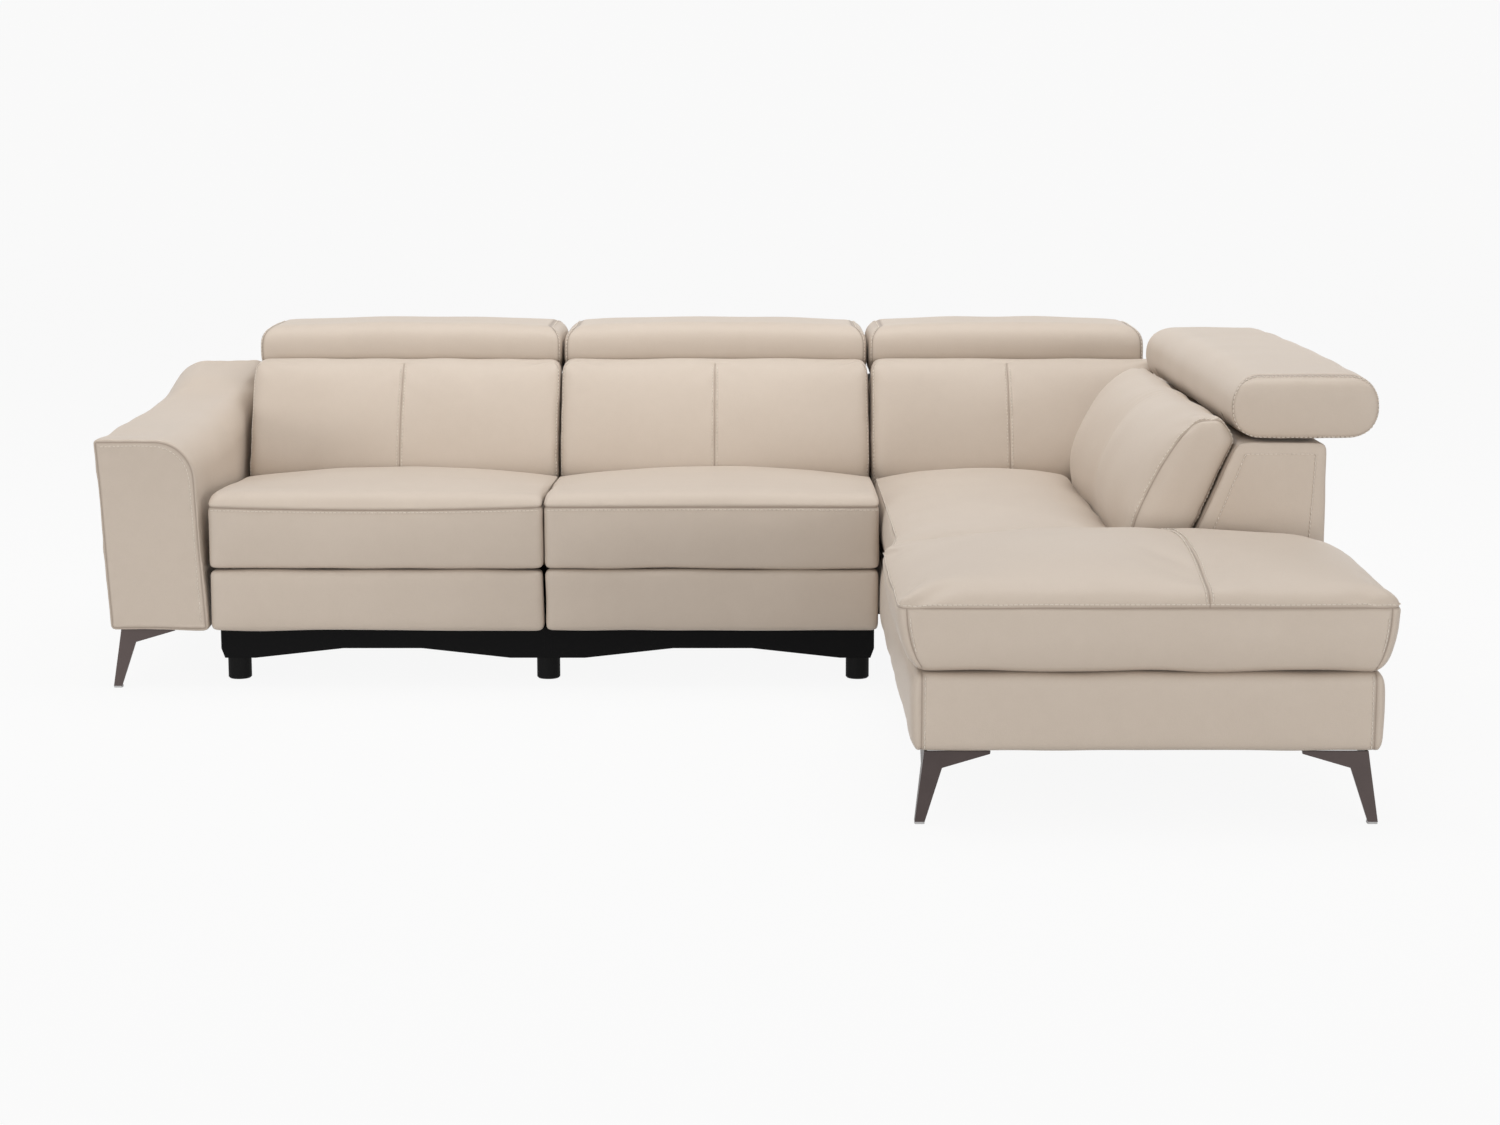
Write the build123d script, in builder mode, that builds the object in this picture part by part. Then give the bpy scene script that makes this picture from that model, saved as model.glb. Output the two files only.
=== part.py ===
from build123d import *
import os
from math import atan2, cos, degrees, hypot, radians, sin, tan

# L-shaped power reclining sofa: a padded arm, two recliner seats, a corner seat and a chaise.
# Sizes are in millimetres. Profiles are measured from the gap between the two recliner seats (x),
# from the front of the recliner seats (y, to the rear) and from the floor (z).

# Plan
SEAT_PITCH = 738.0
MODULE_GAP = 6.0
ARM_WIDTH = 238.0
ARM_FOOT_WIDTH = 214.0
CHAISE_WIDTH = 835.0
CHAISE_REACH = 1218.0
CUSHION_JOIN = 600.0
BACK_REAR = 919.0
RETURN_OVERHANG = 11.0
SEAT_DEPTH = 528.0

# Heights
LEG_HEIGHT = 130.0
FOOTREST_TOP = 262.0
SEAT_SLIT = 4.0
SEAT_DECK = 305.0
SEAT_SEAM = 402.0
SEAT_CROWN = 42.0
CHAISE_DECK = 275.0
CHAISE_SEAM = 394.0
CHAISE_CROWN = 84.0
CORNER_SEAM = 408.0
CORNER_CROWN = 30.0
ARM_TOP = 549.0
ARM_REAR_RISE = 96.0
SHELL_TOP = 616.0
SHELL_BOTTOM = 330.0
SKIRT_BOTTOM = 235.0

# Upholstery
SIDE_DRAW = 5.0
APRON_DEPTH = 60.0
FOOTREST_PAD = 48.0
FOOTREST_CROWN = 6.0
FOOTREST_BOARD_INSET = 10.0
CHAISE_FLARE = 34.0
CHAISE_RIGHT_FLARE = 29.0
CORNER_SEAT_ROOM = 12.0
BACK_RAKE = 24.35
SHELL_INNER = 663.0
SHELL_INNER_HEIGHT = 437.0
BACK_CUSHION_THICKNESS = 127.0
BACK_CUSHION_TOP = 676.0
BACK_FACE_TOP = 630.0
BACK_CUSHION_DRAW = 14.0
BACK_CUSHION_CROWN = 8.0
RETURN_CUSHION_SWELL = 24.0
COVER_WALL = 20.0
SOFT_CLEARANCE = 0.3
ARM_EDGE_RADIUS = 6.0
ARM_INNER_RADIUS = 85.0
ARM_REAR_RADIUS = 35.0
ARM_INNER_LEAN = 18.0

# Headrests
HEADREST_DEPTH = 294.0
HEADREST_HEIGHT = 129.0
HEADREST_OVERHANG = 103.0
HEADREST_GAP = 6.0
HEADREST_CROWN = 8.0
HEADREST_END_SHRINK = 26.0
RETURN_HEADREST_REAR = 660.0
CORNER_HEADREST_LAP = 8.0
HEADREST_ROD_R = 6.0
HEADREST_BRACKET = 6.0
HEADREST_BRACKET_WIDTH = 30.0
HEADREST_BRACKET_INSET = 150.0
HEADREST_SLOT_ROOM = 2.0
HEADREST_BRACKET_LEAN = 30.0
HEADREST_SWING = 80.0
ROD_END_INSET = 60.0

# Recliner mechanism
PIN_CLEARANCE = 0.05
RUN_CLEARANCE = 0.3
PLATE = 4.0
PLATE_INSET = 25.0
LINK = 6.0
LINK_STEP = 10.0
LINK_WIDTH = 22.0
LINK_PIN_R = 6.0
TORQUE_TUBE_R = 9.0
LOWER_PIVOT = (150.0, 287.0)
LOWER_LINK = 150.0
LOWER_LINK_DIP = 5.0
PAD_PIVOT = (75.0, 215.0)
LEVER = 50.0
LEVER_DIP = 35.0
LEVER_SPREAD = 10.0
RECLINE_PIVOT = (695.0, 295.0)
RECLINE_PIN_R = 8.0
HINGE_FLANGE = 55.0
CARRIAGE_LUG = 20.0
CROSS_TUBE = (610.0, 215.0)
CROSS_TUBE_R = 14.0
RAIL_WIDTH = 20.0
RAIL_DEPTH = 36.0
SPRING_WIRE = 4.0
SPRING_COUNT = 5
SPRING_WAVES = 9
SPRING_SWING = 22.0
BOARD = 12.0
MOTOR_LENGTH = 90.0
MOTOR_WIDTH = 90.0
MOTOR_HEIGHT = 70.0
MOTOR_RAIL_LENGTH = 300.0
MOTOR_RAIL = (36.0, 30.0)
INLET_R = 6.0
DRIVE_BLOCK_REACH = 190.0
DRIVE_BLOCK = 50.0
DRIVE_WALL = 10.0
SWITCH_PLATE = (70.0, 34.0, 2.5)
SWITCH_PLACE = (150.0, 352.0)
ROCKER = (34.0, 20.0, 4.0)
ROCKER_PIVOT_R = 2.0

# Base, feet and legs
BASE_BOTTOM = 71.0
BASE_TOP = 128.0
BAR_TOP = 118.0
BASE_RAIL_INSET = 16.5
BASE_RAIL = 24.0
BASE_FRONT = 95.0
BASE_BAR = 50.0
BASE_REAR_BAR = 775.0
BASE_GUSSET = 22.0
BASE_GUSSET_RUN = 250.0
BASE_SHOE_SLANT = 8.0
APRON_BOARD = 12.0
APRON_TOP = 205.0
APRON_BOTTOM = 100.0
FOOT_R = 26.0
FOOT_INSET = 44.0
LEG_TOP_ARM = 119.0
LEG_ELBOW_ARM = 36.0
LEG_FOOT_ARM = 18.0
LEG_FLANGE = 5.0
LEG_ELBOW = 30.0
LEG_SPLAY = 17.0
LEG_SHEET = 6.0
LEG_INSET = 2.0
REAR_LEG_INSET = 50.0
GLIDE = 4.0
CONNECTOR = 4.0
CONNECTOR_WIDTH = 50.0
CONNECTOR_REACH = 40.0
CONNECTOR_PLACES = (220.0, 660.0)

# Frames inside the covers
TIMBER = 24.0
CHAISE_CROSS_RAILS = 5
ARM_POSTS = 4
BACK_POSTS = 4

# Places that follow from the sizes above
HALF_SEAT = (SEAT_PITCH - MODULE_GAP) / 2
PLATE_OFFSET = HALF_SEAT - PLATE_INSET
BASE_RAIL_OFFSET = HALF_SEAT - BASE_RAIL_INSET
ARM_INNER = -(SEAT_PITCH + MODULE_GAP / 2)
ARM_OUTER = ARM_INNER - ARM_WIDTH
ARM_FOOT_OUTER = ARM_INNER - ARM_FOOT_WIDTH
CORNER_LEFT = SEAT_PITCH + MODULE_GAP / 2
CHAISE_LEFT = CORNER_LEFT + MODULE_GAP - 1
CHAISE_RIGHT = CHAISE_LEFT + CHAISE_WIDTH
RETURN_OUTER = CHAISE_RIGHT + RETURN_OVERHANG
X_MID = -(ARM_OUTER + RETURN_OUTER + HEADREST_OVERHANG) / 2
FRONT_Y = (CHAISE_REACH - BACK_REAR - HEADREST_OVERHANG) / 2
RAKE = tan(radians(BACK_RAKE))
HEADREST_FRONT = BACK_REAR + HEADREST_OVERHANG - HEADREST_DEPTH
HEADREST_PIVOT = (HEADREST_FRONT + HEADREST_HEIGHT / 2, SHELL_TOP + HEADREST_GAP + HEADREST_HEIGHT / 2)
APRON_EDGE = FOOTREST_TOP + SEAT_SLIT
RAIL_TOP = SEAT_DECK - SPRING_WIRE
RAIL_BOTTOM = RAIL_TOP - RAIL_DEPTH
RAIL_FRONT = APRON_DEPTH + 2
RAIL_REAR = SEAT_DEPTH + 12
LINK_ANGLE = radians(LOWER_LINK_DIP)
KNEE_PIVOT = (LOWER_PIVOT[0] + LOWER_LINK * cos(LINK_ANGLE), LOWER_PIVOT[1] - LOWER_LINK * sin(LINK_ANGLE))
LOWER_LINK_OFFSET = PLATE_OFFSET - LINK_STEP
UPPER_LINK_OFFSET = LOWER_LINK_OFFSET - LINK_STEP
LUG_OFFSET = UPPER_LINK_OFFSET - LINK_STEP
LEVER_TIP = (
    LOWER_PIVOT[0] + LEVER * cos(radians(LEVER_DIP)),
    LOWER_PIVOT[1] - LEVER * sin(radians(LEVER_DIP)),
)
MOTOR_REAR = CROSS_TUBE[0] - CROSS_TUBE_R - 6
MOTOR_FRONT = MOTOR_REAR - MOTOR_LENGTH
BLOCK_FRONT = LEVER_TIP[0] + DRIVE_BLOCK_REACH
SEATS = (("left", -SEAT_PITCH / 2, -1), ("middle", SEAT_PITCH / 2, 1))


def inner_face(z):
    """Distance of a shell's raked inner face from the seat front at height z."""
    return SHELL_INNER + (z - SHELL_INNER_HEIGHT) * RAKE


def side_plane(x):
    """Plane across the sofa at x, with local axes y and z."""
    return Plane(origin=(X_MID + x, FRONT_Y, 0), x_dir=(0, 1, 0), z_dir=(1, 0, 0))


def front_plane(y):
    """Plane along the sofa at y, with local axes x and z, facing the front."""
    return Plane(origin=(X_MID, FRONT_Y + y, 0), x_dir=(1, 0, 0), z_dir=(0, -1, 0))


def level_plane(z):
    """Level plane at height z, with local axes x and y."""
    return Plane(origin=(X_MID, FRONT_Y, z))


def return_plane(y):
    """Plane across the return back at y, on which the rear backs' own profiles can be drawn."""
    shift = RETURN_OUTER - BACK_REAR
    return Plane(origin=(X_MID + shift, FRONT_Y + y, 0), x_dir=(1, 0, 0), z_dir=(0, -1, 0))


def run_from(plane, start, way=1):
    """Planes along a run, by distance from its start."""
    return lambda distance: plane(start + way * distance)


def block(xs, ys, zs, mode=Mode.ADD):
    """Box between three pairs of limits."""
    with Locations((X_MID + sum(xs) / 2, FRONT_Y + sum(ys) / 2, sum(zs) / 2)):
        Box(xs[1] - xs[0], ys[1] - ys[0], zs[1] - zs[0], mode=mode)


def bar(start, end, width):
    """Round-ended bar between two points of a sketch."""
    run = (end[0] - start[0], end[1] - start[1])
    with Locations(((start[0] + end[0]) / 2, (start[1] + end[1]) / 2)):
        SlotCenterToCenter(hypot(*run), width, rotation=degrees(atan2(run[1], run[0])))


def disc(centre, radius, mode=Mode.ADD):
    """Circle of a sketch at a point."""
    with Locations(centre):
        Circle(radius, mode=mode)


def finish(builder, name):
    """Label a finished piece and write its file."""
    builder.part.label = name
    export_step(builder.part, f"parts/{name}.step")


def bow(start, end, rise):
    """Middle point of an arc from start to end that stands out by rise to its left."""
    run = (end[0] - start[0], end[1] - start[1])
    length = hypot(*run)
    return (
        (start[0] + end[0]) / 2 - run[1] / length * rise,
        (start[1] + end[1]) / 2 + run[0] / length * rise,
    )


# Arm: a padded cover that sweeps up to the back, with a timber frame sealed inside it


def arm_cover():
    # Share of the arm's depth, share of the rear rise, and share of the way to the rear's rounding
    stations = (
        (0, 0, 0),
        (0.3, 0.03, 0.05),
        (0.55, 0.12, 0.25),
        (0.72, 0.3, 0.6),
        (0.87, 0.68, 0.95),
        (1, 1, 1),
    )
    with BuildPart() as cover:
        for share, rise, turn in stations:
            top = ARM_TOP + ARM_REAR_RISE * rise
            outer_r = ARM_EDGE_RADIUS + (ARM_INNER_RADIUS - ARM_EDGE_RADIUS) * turn
            inner_r = ARM_INNER_RADIUS + (ARM_REAR_RADIUS - ARM_INNER_RADIUS) * turn
            inner_top = ARM_INNER - ARM_INNER_LEAN * (1 - turn) - 1
            outer_side = (ARM_OUTER, top - outer_r)
            outer_top = (ARM_OUTER + outer_r, top)
            inner_start = (inner_top - inner_r, top)
            inner_side = (inner_top, top - inner_r)
            with BuildSketch(front_plane(share * BACK_REAR)):
                with BuildLine():
                    Line((ARM_INNER, LEG_HEIGHT), (ARM_FOOT_OUTER, LEG_HEIGHT))
                    Line((ARM_FOOT_OUTER, LEG_HEIGHT), outer_side)
                    ThreePointArc(outer_side, bow(outer_side, outer_top, outer_r * 0.2), outer_top)
                    Line(outer_top, inner_start)
                    ThreePointArc(inner_start, bow(inner_start, inner_side, inner_r * 0.2), inner_side)
                    Line(inner_side, (ARM_INNER, LEG_HEIGHT))
                make_face()
        loft()
        block(*ARM_ROOM, mode=Mode.SUBTRACT)
    finish(cover, "arm_cover")


ARM_ROOM = (
    (ARM_FOOT_OUTER + COVER_WALL, ARM_INNER - COVER_WALL - ARM_INNER_LEAN),
    (COVER_WALL, BACK_REAR - COVER_WALL),
    (LEG_HEIGHT + COVER_WALL, ARM_TOP - ARM_INNER_RADIUS),
)


def arm_frame():
    xs, ys, zs = ARM_ROOM
    spacing = (ys[1] - ys[0] - TIMBER) / (ARM_POSTS - 1)
    with BuildPart() as frame:
        block(xs, ys, (zs[0], zs[0] + TIMBER))
        block(xs, ys, (zs[1] - TIMBER, zs[1]))
        for post in range(ARM_POSTS):
            block(xs, (ys[0] + post * spacing, ys[0] + post * spacing + TIMBER), zs)
    finish(frame, "arm_frame")


# Chaise and corner: one long upholstered base with a timber frame sealed inside it

CHAISE_ROOM = (
    (CHAISE_LEFT + COVER_WALL, CHAISE_RIGHT - COVER_WALL),
    (-CHAISE_REACH + COVER_WALL, BACK_REAR - COVER_WALL),
    (LEG_HEIGHT + COVER_WALL, CHAISE_DECK - COVER_WALL),
)


def chaise_base():
    with BuildPart() as cover:
        block((CHAISE_LEFT, CHAISE_RIGHT), (-CHAISE_REACH, BACK_REAR), (LEG_HEIGHT, CHAISE_DECK))
        fillet(cover.edges().filter_by(Axis.Z), COVER_WALL / 2)
        block(*CHAISE_ROOM, mode=Mode.SUBTRACT)
    finish(cover, "chaise_base")


def chaise_frame():
    xs, ys, zs = CHAISE_ROOM
    spacing = (ys[1] - ys[0] - TIMBER) / (CHAISE_CROSS_RAILS + 1)
    with BuildPart() as frame:
        block((xs[0], xs[0] + TIMBER), ys, zs)
        block((xs[1] - TIMBER, xs[1]), ys, zs)
        for rail in range(CHAISE_CROSS_RAILS + 2):
            block(xs, (ys[0] + rail * spacing, ys[0] + rail * spacing + TIMBER), zs)
    finish(frame, "chaise_frame")


def chaise_cushion():
    # Share of the length from the front, share of the side flare, rise of the side seam, share of the crown
    stations = (
        (0, 0.9, 0, 0.04),
        (0.22, 1, 6, 0.72),
        (0.5, 1, 10, 1),
        (0.8, 0.95, 8, 0.82),
        (1, 0.8, 4, 0.55),
    )
    length = CHAISE_REACH - CUSHION_JOIN - MODULE_GAP
    with BuildPart() as cushion:
        for share, flare, rise, crown in stations:
            low_left = (CHAISE_LEFT, CHAISE_DECK)
            low_right = (CHAISE_RIGHT, CHAISE_DECK)
            top_left = (CHAISE_LEFT - CHAISE_FLARE * flare, CHAISE_SEAM + rise)
            top_right = (CHAISE_RIGHT + CHAISE_RIGHT_FLARE * flare, CHAISE_SEAM + rise)
            with BuildSketch(front_plane(-CHAISE_REACH + share * length)):
                with BuildLine():
                    Line(low_left, low_right)
                    ThreePointArc(low_right, bow(low_right, top_right, -SIDE_DRAW), top_right)
                    ThreePointArc(top_right, bow(top_right, top_left, -CHAISE_CROWN * crown), top_left)
                    ThreePointArc(top_left, bow(top_left, low_left, -SIDE_DRAW), low_left)
                make_face()
        loft()
    finish(cushion, "chaise_cushion")


def corner_cushion():
    # Share of the length from the front, share of the side flare, rise of the side seam, share of the crown
    stations = ((0, 0.7, 0, 0.7), (0.16, 0, 0, 0.9), (0.5, 0, 0, 1), (0.85, 0, -2, 0.9), (1, 0, -6, 0.6))
    right = RETURN_OUTER - BACK_REAR + SHELL_INNER - BACK_CUSHION_THICKNESS - CORNER_SEAT_ROOM
    with BuildPart() as cushion:
        for share, flare, rise, crown in stations:
            low_left = (CORNER_LEFT + MODULE_GAP, CHAISE_DECK)
            low_right = (right, CHAISE_DECK)
            top_left = (CORNER_LEFT - CHAISE_FLARE * flare, CORNER_SEAM + rise)
            top_right = (right, CORNER_SEAM + rise)
            with BuildSketch(front_plane(-CUSHION_JOIN + share * (CUSHION_JOIN + SEAT_DEPTH))):
                with BuildLine():
                    Line(low_left, low_right)
                    Line(low_right, top_right)
                    ThreePointArc(top_right, bow(top_right, top_left, -CORNER_CROWN * crown), top_left)
                    ThreePointArc(top_left, bow(top_left, low_left, -SIDE_DRAW), low_left)
                make_face()
        loft()
    finish(cushion, "corner_seat_cushion")


# Backs: raked shells with a timber ladder sealed inside, and boxed cushions in front of them


def shell_profile(bottom):
    """Corners of a back shell across its length; a reclining shell has a skirt down its rear."""
    front = (inner_face(bottom), bottom)
    top = ((inner_face(SHELL_TOP), SHELL_TOP), (BACK_REAR, SHELL_TOP))
    if bottom < SHELL_BOTTOM:
        return (front, *top, (BACK_REAR, bottom))
    inside = BACK_REAR - COVER_WALL
    return (front, *top, (BACK_REAR, SKIRT_BOTTOM), (inside, SKIRT_BOTTOM), (inside, bottom))


def beyond_return(gap):
    """Everything behind the return's raked inner face, short of it by a gap."""
    low = LEG_HEIGHT
    high = 2 * SHELL_TOP
    far = 2 * BACK_REAR
    return ((inner_face(low) - gap, low), (far, low), (far, high), (inner_face(high) - gap, high))


def room_profile(bottom):
    """Corners of the room inside a back shell."""
    low = bottom + COVER_WALL
    high = SHELL_TOP - COVER_WALL
    rear = BACK_REAR - COVER_WALL
    side = COVER_WALL / cos(radians(BACK_RAKE))
    return ((inner_face(low) + side, low), (inner_face(high) + side, high), (rear, high), (rear, low))


def back_shell(name, plane_at, length, bottom, mitre=0.0):
    """Hollow shell of a back; mitre is the part of its length that the return's raked face takes off."""
    with BuildPart() as shell:
        with BuildSketch(plane_at(0)):
            Polygon(*shell_profile(bottom), align=None)
        extrude(amount=length)
        if mitre:
            with BuildSketch(return_plane(BACK_REAR + 1)):
                Polygon(*beyond_return(0), align=None)
            extrude(amount=BACK_REAR / 2, mode=Mode.SUBTRACT)
        with BuildSketch(plane_at(COVER_WALL)):
            Polygon(*room_profile(bottom), align=None)
        extrude(amount=length - mitre - 2 * COVER_WALL, mode=Mode.SUBTRACT)
    finish(shell, name)


def back_frames(name, runs, bottom):
    """Timber ladders against the rear wall of each shell's room."""
    low = bottom + COVER_WALL
    high = SHELL_TOP - COVER_WALL
    rear = BACK_REAR - COVER_WALL
    with BuildPart() as frames:
        for plane_at, length in runs:
            run = length - 2 * COVER_WALL
            spacing = (run - TIMBER) / (BACK_POSTS - 1)
            for z in (low, high - TIMBER):
                with BuildSketch(plane_at(COVER_WALL)):
                    with Locations((rear - TIMBER / 2, z + TIMBER / 2)):
                        Rectangle(TIMBER, TIMBER)
                extrude(amount=run)
            for post in range(BACK_POSTS):
                with BuildSketch(plane_at(COVER_WALL + post * spacing)):
                    with Locations((rear - TIMBER / 2, (low + high) / 2)):
                        Rectangle(TIMBER, high - low)
                extrude(amount=TIMBER)
    finish(frames, name)


# Share of a back cushion's length, share of the draw there, below nought where it is crowned, and swell
PLAIN_BACK = ((0, 1, 0), (0.12, 0.2, 0), (0.5, -1, 0), (0.88, 0.2, 0), (1, 1, 0))
LOBED_BACK = (
    (0, 1, 0),
    (0.1, 0.2, 0.4),
    (0.26, -0.5, 1),
    (0.5, 0.2, 0.2),
    (0.74, -0.5, 1),
    (0.9, 0.2, 0.4),
    (1, 1, 0),
)


def back_cushion(name, plane_at, length, stations=PLAIN_BACK, mitred=False):
    """Boxed back cushion, crowned along its length; a mitred one ends at the return's raked face."""
    bottom = SHELL_BOTTOM
    face = SHELL_INNER - BACK_CUSHION_THICKNESS
    rear = -SOFT_CLEARANCE / cos(radians(BACK_RAKE))
    with BuildPart() as cushion:
        for share, draw, swell in stations:
            back = BACK_CUSHION_DRAW * draw if draw > 0 else BACK_CUSHION_CROWN * draw
            low = (face + 6 + back, bottom)
            lap = (face + back, SHELL_INNER_HEIGHT)
            brow = (face + (BACK_FACE_TOP - SHELL_INNER_HEIGHT) * RAKE * 1.13 + back, BACK_FACE_TOP - back)
            crest = (brow[0] + 50, BACK_CUSHION_TOP - back / 2)
            nape = (inner_face(SHELL_TOP - SEAT_SLIT) + rear, SHELL_TOP - SEAT_SLIT)
            heel = (inner_face(bottom) + rear, bottom)
            with BuildSketch(plane_at(share * length)):
                with BuildLine():
                    Line(heel, low)
                    Line(low, lap)
                    ThreePointArc(lap, bow(lap, brow, 8 + RETURN_CUSHION_SWELL * swell), brow)
                    ThreePointArc(brow, bow(brow, crest, 9), crest)
                    ThreePointArc(crest, bow(crest, nape, 8), nape)
                    Line(nape, heel)
                make_face()
        loft()
        if mitred:
            with BuildSketch(return_plane(BACK_REAR + 1)):
                Polygon(*beyond_return(SOFT_CLEARANCE), align=None)
            extrude(amount=BACK_REAR / 2, mode=Mode.SUBTRACT)
    finish(cushion, name)


# Headrests: padded bolsters that swing up about a rod through their front edge


def headrest(name, plane_at, length):
    # Share of the end shrink and distance from the end, and the crown in the middle
    ends = ((0, 1, 0), (0.04, 0.2, 0), (0.12, 0, 0), (0.5, 0, 1), (0.88, 0, 0), (0.96, 0.2, 0), (1, 1, 0))
    middle = (HEADREST_FRONT + HEADREST_DEPTH / 2, HEADREST_PIVOT[1])
    slot = HEADREST_BRACKET + 2 * HEADREST_SLOT_ROOM
    with BuildPart() as pad:
        for share, shrink, crown in ends:
            height = HEADREST_HEIGHT - HEADREST_END_SHRINK * shrink + HEADREST_CROWN * crown
            depth = HEADREST_DEPTH - HEADREST_END_SHRINK * shrink
            with BuildSketch(plane_at(share * length)):
                with Locations((middle[0], middle[1] + HEADREST_CROWN * crown / 2)):
                    RectangleRounded(depth, height, height / 2 - 1)
        loft()
        for place in bracket_places(length):
            with BuildSketch(plane_at(place - slot / 2)):
                disc(HEADREST_PIVOT, HEADREST_BRACKET_WIDTH / 2 + HEADREST_SLOT_ROOM)
                Polygon(*bracket_sweep(), align=None)
            extrude(amount=slot, mode=Mode.SUBTRACT)
        with BuildSketch(plane_at(ROD_END_INSET)):
            disc(HEADREST_PIVOT, HEADREST_ROD_R + PIN_CLEARANCE)
        extrude(amount=length - 2 * ROD_END_INSET, mode=Mode.SUBTRACT)
    finish(pad, f"{name}_headrest_pad")
    with BuildPart() as rod:
        with BuildSketch(plane_at(ROD_END_INSET)):
            disc(HEADREST_PIVOT, HEADREST_ROD_R)
        extrude(amount=length - 2 * ROD_END_INSET)
    finish(rod, f"{name}_headrest_rod")


def bracket_places(length):
    """Places of a headrest's two brackets along its length."""
    return (HEADREST_BRACKET_INSET, length - HEADREST_BRACKET_INSET)


def from_pivot(angle, out, across=0.0):
    """Point seen from a headrest's pivot: out along a line that is angled forward from straight down,
    and across from that line to its front."""
    way = radians(angle)
    return (
        HEADREST_PIVOT[0] - out * sin(way) - across * cos(way),
        HEADREST_PIVOT[1] - out * cos(way) + across * sin(way),
    )


def bracket_sweep():
    """Corners of the room that a bracket takes up in its headrest, from folded down to swung up."""
    half = HEADREST_BRACKET_WIDTH / 2 + HEADREST_SLOT_ROOM
    first = -HEADREST_BRACKET_LEAN
    last = HEADREST_SWING - HEADREST_BRACKET_LEAN
    rear = [from_pivot(first, out, -half) for out in (0, HEADREST_HEIGHT)]
    front = [from_pivot(last, out, half) for out in (HEADREST_HEIGHT, 0)]
    return (*rear, from_pivot((first + last) / 2, 2 * HEADREST_HEIGHT), *front)


def headrest_brackets(name, runs):
    """Plates on the shells that lean forward to the headrest rods and carry them."""
    half = HEADREST_BRACKET_WIDTH / 2
    lean = radians(HEADREST_BRACKET_LEAN)
    foot = HEADREST_PIVOT[0] + (HEADREST_PIVOT[1] - SHELL_TOP) * tan(lean)
    with BuildPart() as brackets:
        for plane_at, length in runs:
            for place in bracket_places(length):
                with BuildSketch(plane_at(place - HEADREST_BRACKET / 2)):
                    Polygon(
                        (foot - half / cos(lean), SHELL_TOP),
                        (foot + half / cos(lean), SHELL_TOP),
                        from_pivot(-HEADREST_BRACKET_LEAN, 0, -half),
                        from_pivot(-HEADREST_BRACKET_LEAN, 0, half),
                        align=None,
                    )
                    disc(HEADREST_PIVOT, half)
                    disc(HEADREST_PIVOT, HEADREST_ROD_R + PIN_CLEARANCE, mode=Mode.SUBTRACT)
                extrude(amount=HEADREST_BRACKET)
    finish(brackets, name)


# Recliner seats


def seat_cushion(side, centre, outward):
    # Share of the depth, rise of the side seam and share of the crown
    stations = ((0, 0, 0.08), (0.25, 4, 0.72), (0.5, 4, 1), (0.78, 2, 0.88), (1, 0, 0.5))
    plate_length, plate_height, plate_depth = SWITCH_PLATE
    seat_face = centre + outward * (HALF_SEAT - SIDE_DRAW)
    with BuildPart() as cushion:
        for share, rise, crown in stations:
            low_left = (centre - HALF_SEAT, SEAT_DECK)
            low_right = (centre + HALF_SEAT, SEAT_DECK)
            top_left = (centre - HALF_SEAT, SEAT_SEAM + rise)
            top_right = (centre + HALF_SEAT, SEAT_SEAM + rise)
            with BuildSketch(front_plane(share * SEAT_DEPTH)):
                with BuildLine():
                    Line(low_left, low_right)
                    ThreePointArc(low_right, bow(low_right, top_right, SIDE_DRAW), top_right)
                    ThreePointArc(top_right, bow(top_right, top_left, -SEAT_CROWN * crown), top_left)
                    ThreePointArc(top_left, bow(top_left, low_left, SIDE_DRAW), low_left)
                make_face()
        loft()
        block((centre - HALF_SEAT, centre + HALF_SEAT), (0, APRON_DEPTH), (APRON_EDGE, SEAT_DECK))
        block(
            sorted((seat_face - outward * plate_depth, seat_face + outward * SIDE_DRAW)),
            (SWITCH_PLACE[0] - plate_length / 2, SWITCH_PLACE[0] + plate_length / 2),
            (SWITCH_PLACE[1] - plate_height / 2, SWITCH_PLACE[1] + plate_height / 2),
            mode=Mode.SUBTRACT,
        )
    finish(cushion, f"{side}_seat_cushion")


def seat_rails(side, centre):
    inner = PLATE_OFFSET + PLATE
    outer = inner + RAIL_WIDTH
    level = (RAIL_BOTTOM, RAIL_TOP)
    with BuildPart() as rails:
        for sign in (-1, 1):
            block(sorted((centre + sign * inner, centre + sign * outer)), (RAIL_FRONT, RAIL_REAR), level)
        block((centre - outer, centre + outer), (RAIL_FRONT, RAIL_FRONT + RAIL_WIDTH), level)
        block((centre - outer, centre + outer), (RAIL_REAR - RAIL_WIDTH, RAIL_REAR), level)
    finish(rails, f"{side}_seat_rails")


def seat_springs(side, centre):
    """Zigzag springs from the front rail to the rear rail, under the cushion."""
    start = RAIL_FRONT + RAIL_WIDTH / 2
    step = (RAIL_REAR - RAIL_FRONT - RAIL_WIDTH) / SPRING_WAVES
    spread = 2 * (PLATE_OFFSET - LINK_STEP) / (SPRING_COUNT + 1)
    with BuildPart() as springs:
        for spring in range(SPRING_COUNT):
            x = centre + spread * (spring - (SPRING_COUNT - 1) / 2)
            with BuildSketch(level_plane(RAIL_TOP)):
                with BuildLine():
                    waves = range(SPRING_WAVES + 1)
                    Polyline(*[(x + SPRING_SWING * (-1) ** wave, start + step * wave) for wave in waves])
                trace(line_width=SPRING_WIRE)
            extrude(amount=SPRING_WIRE)
    finish(springs, f"{side}_seat_springs")


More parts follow.
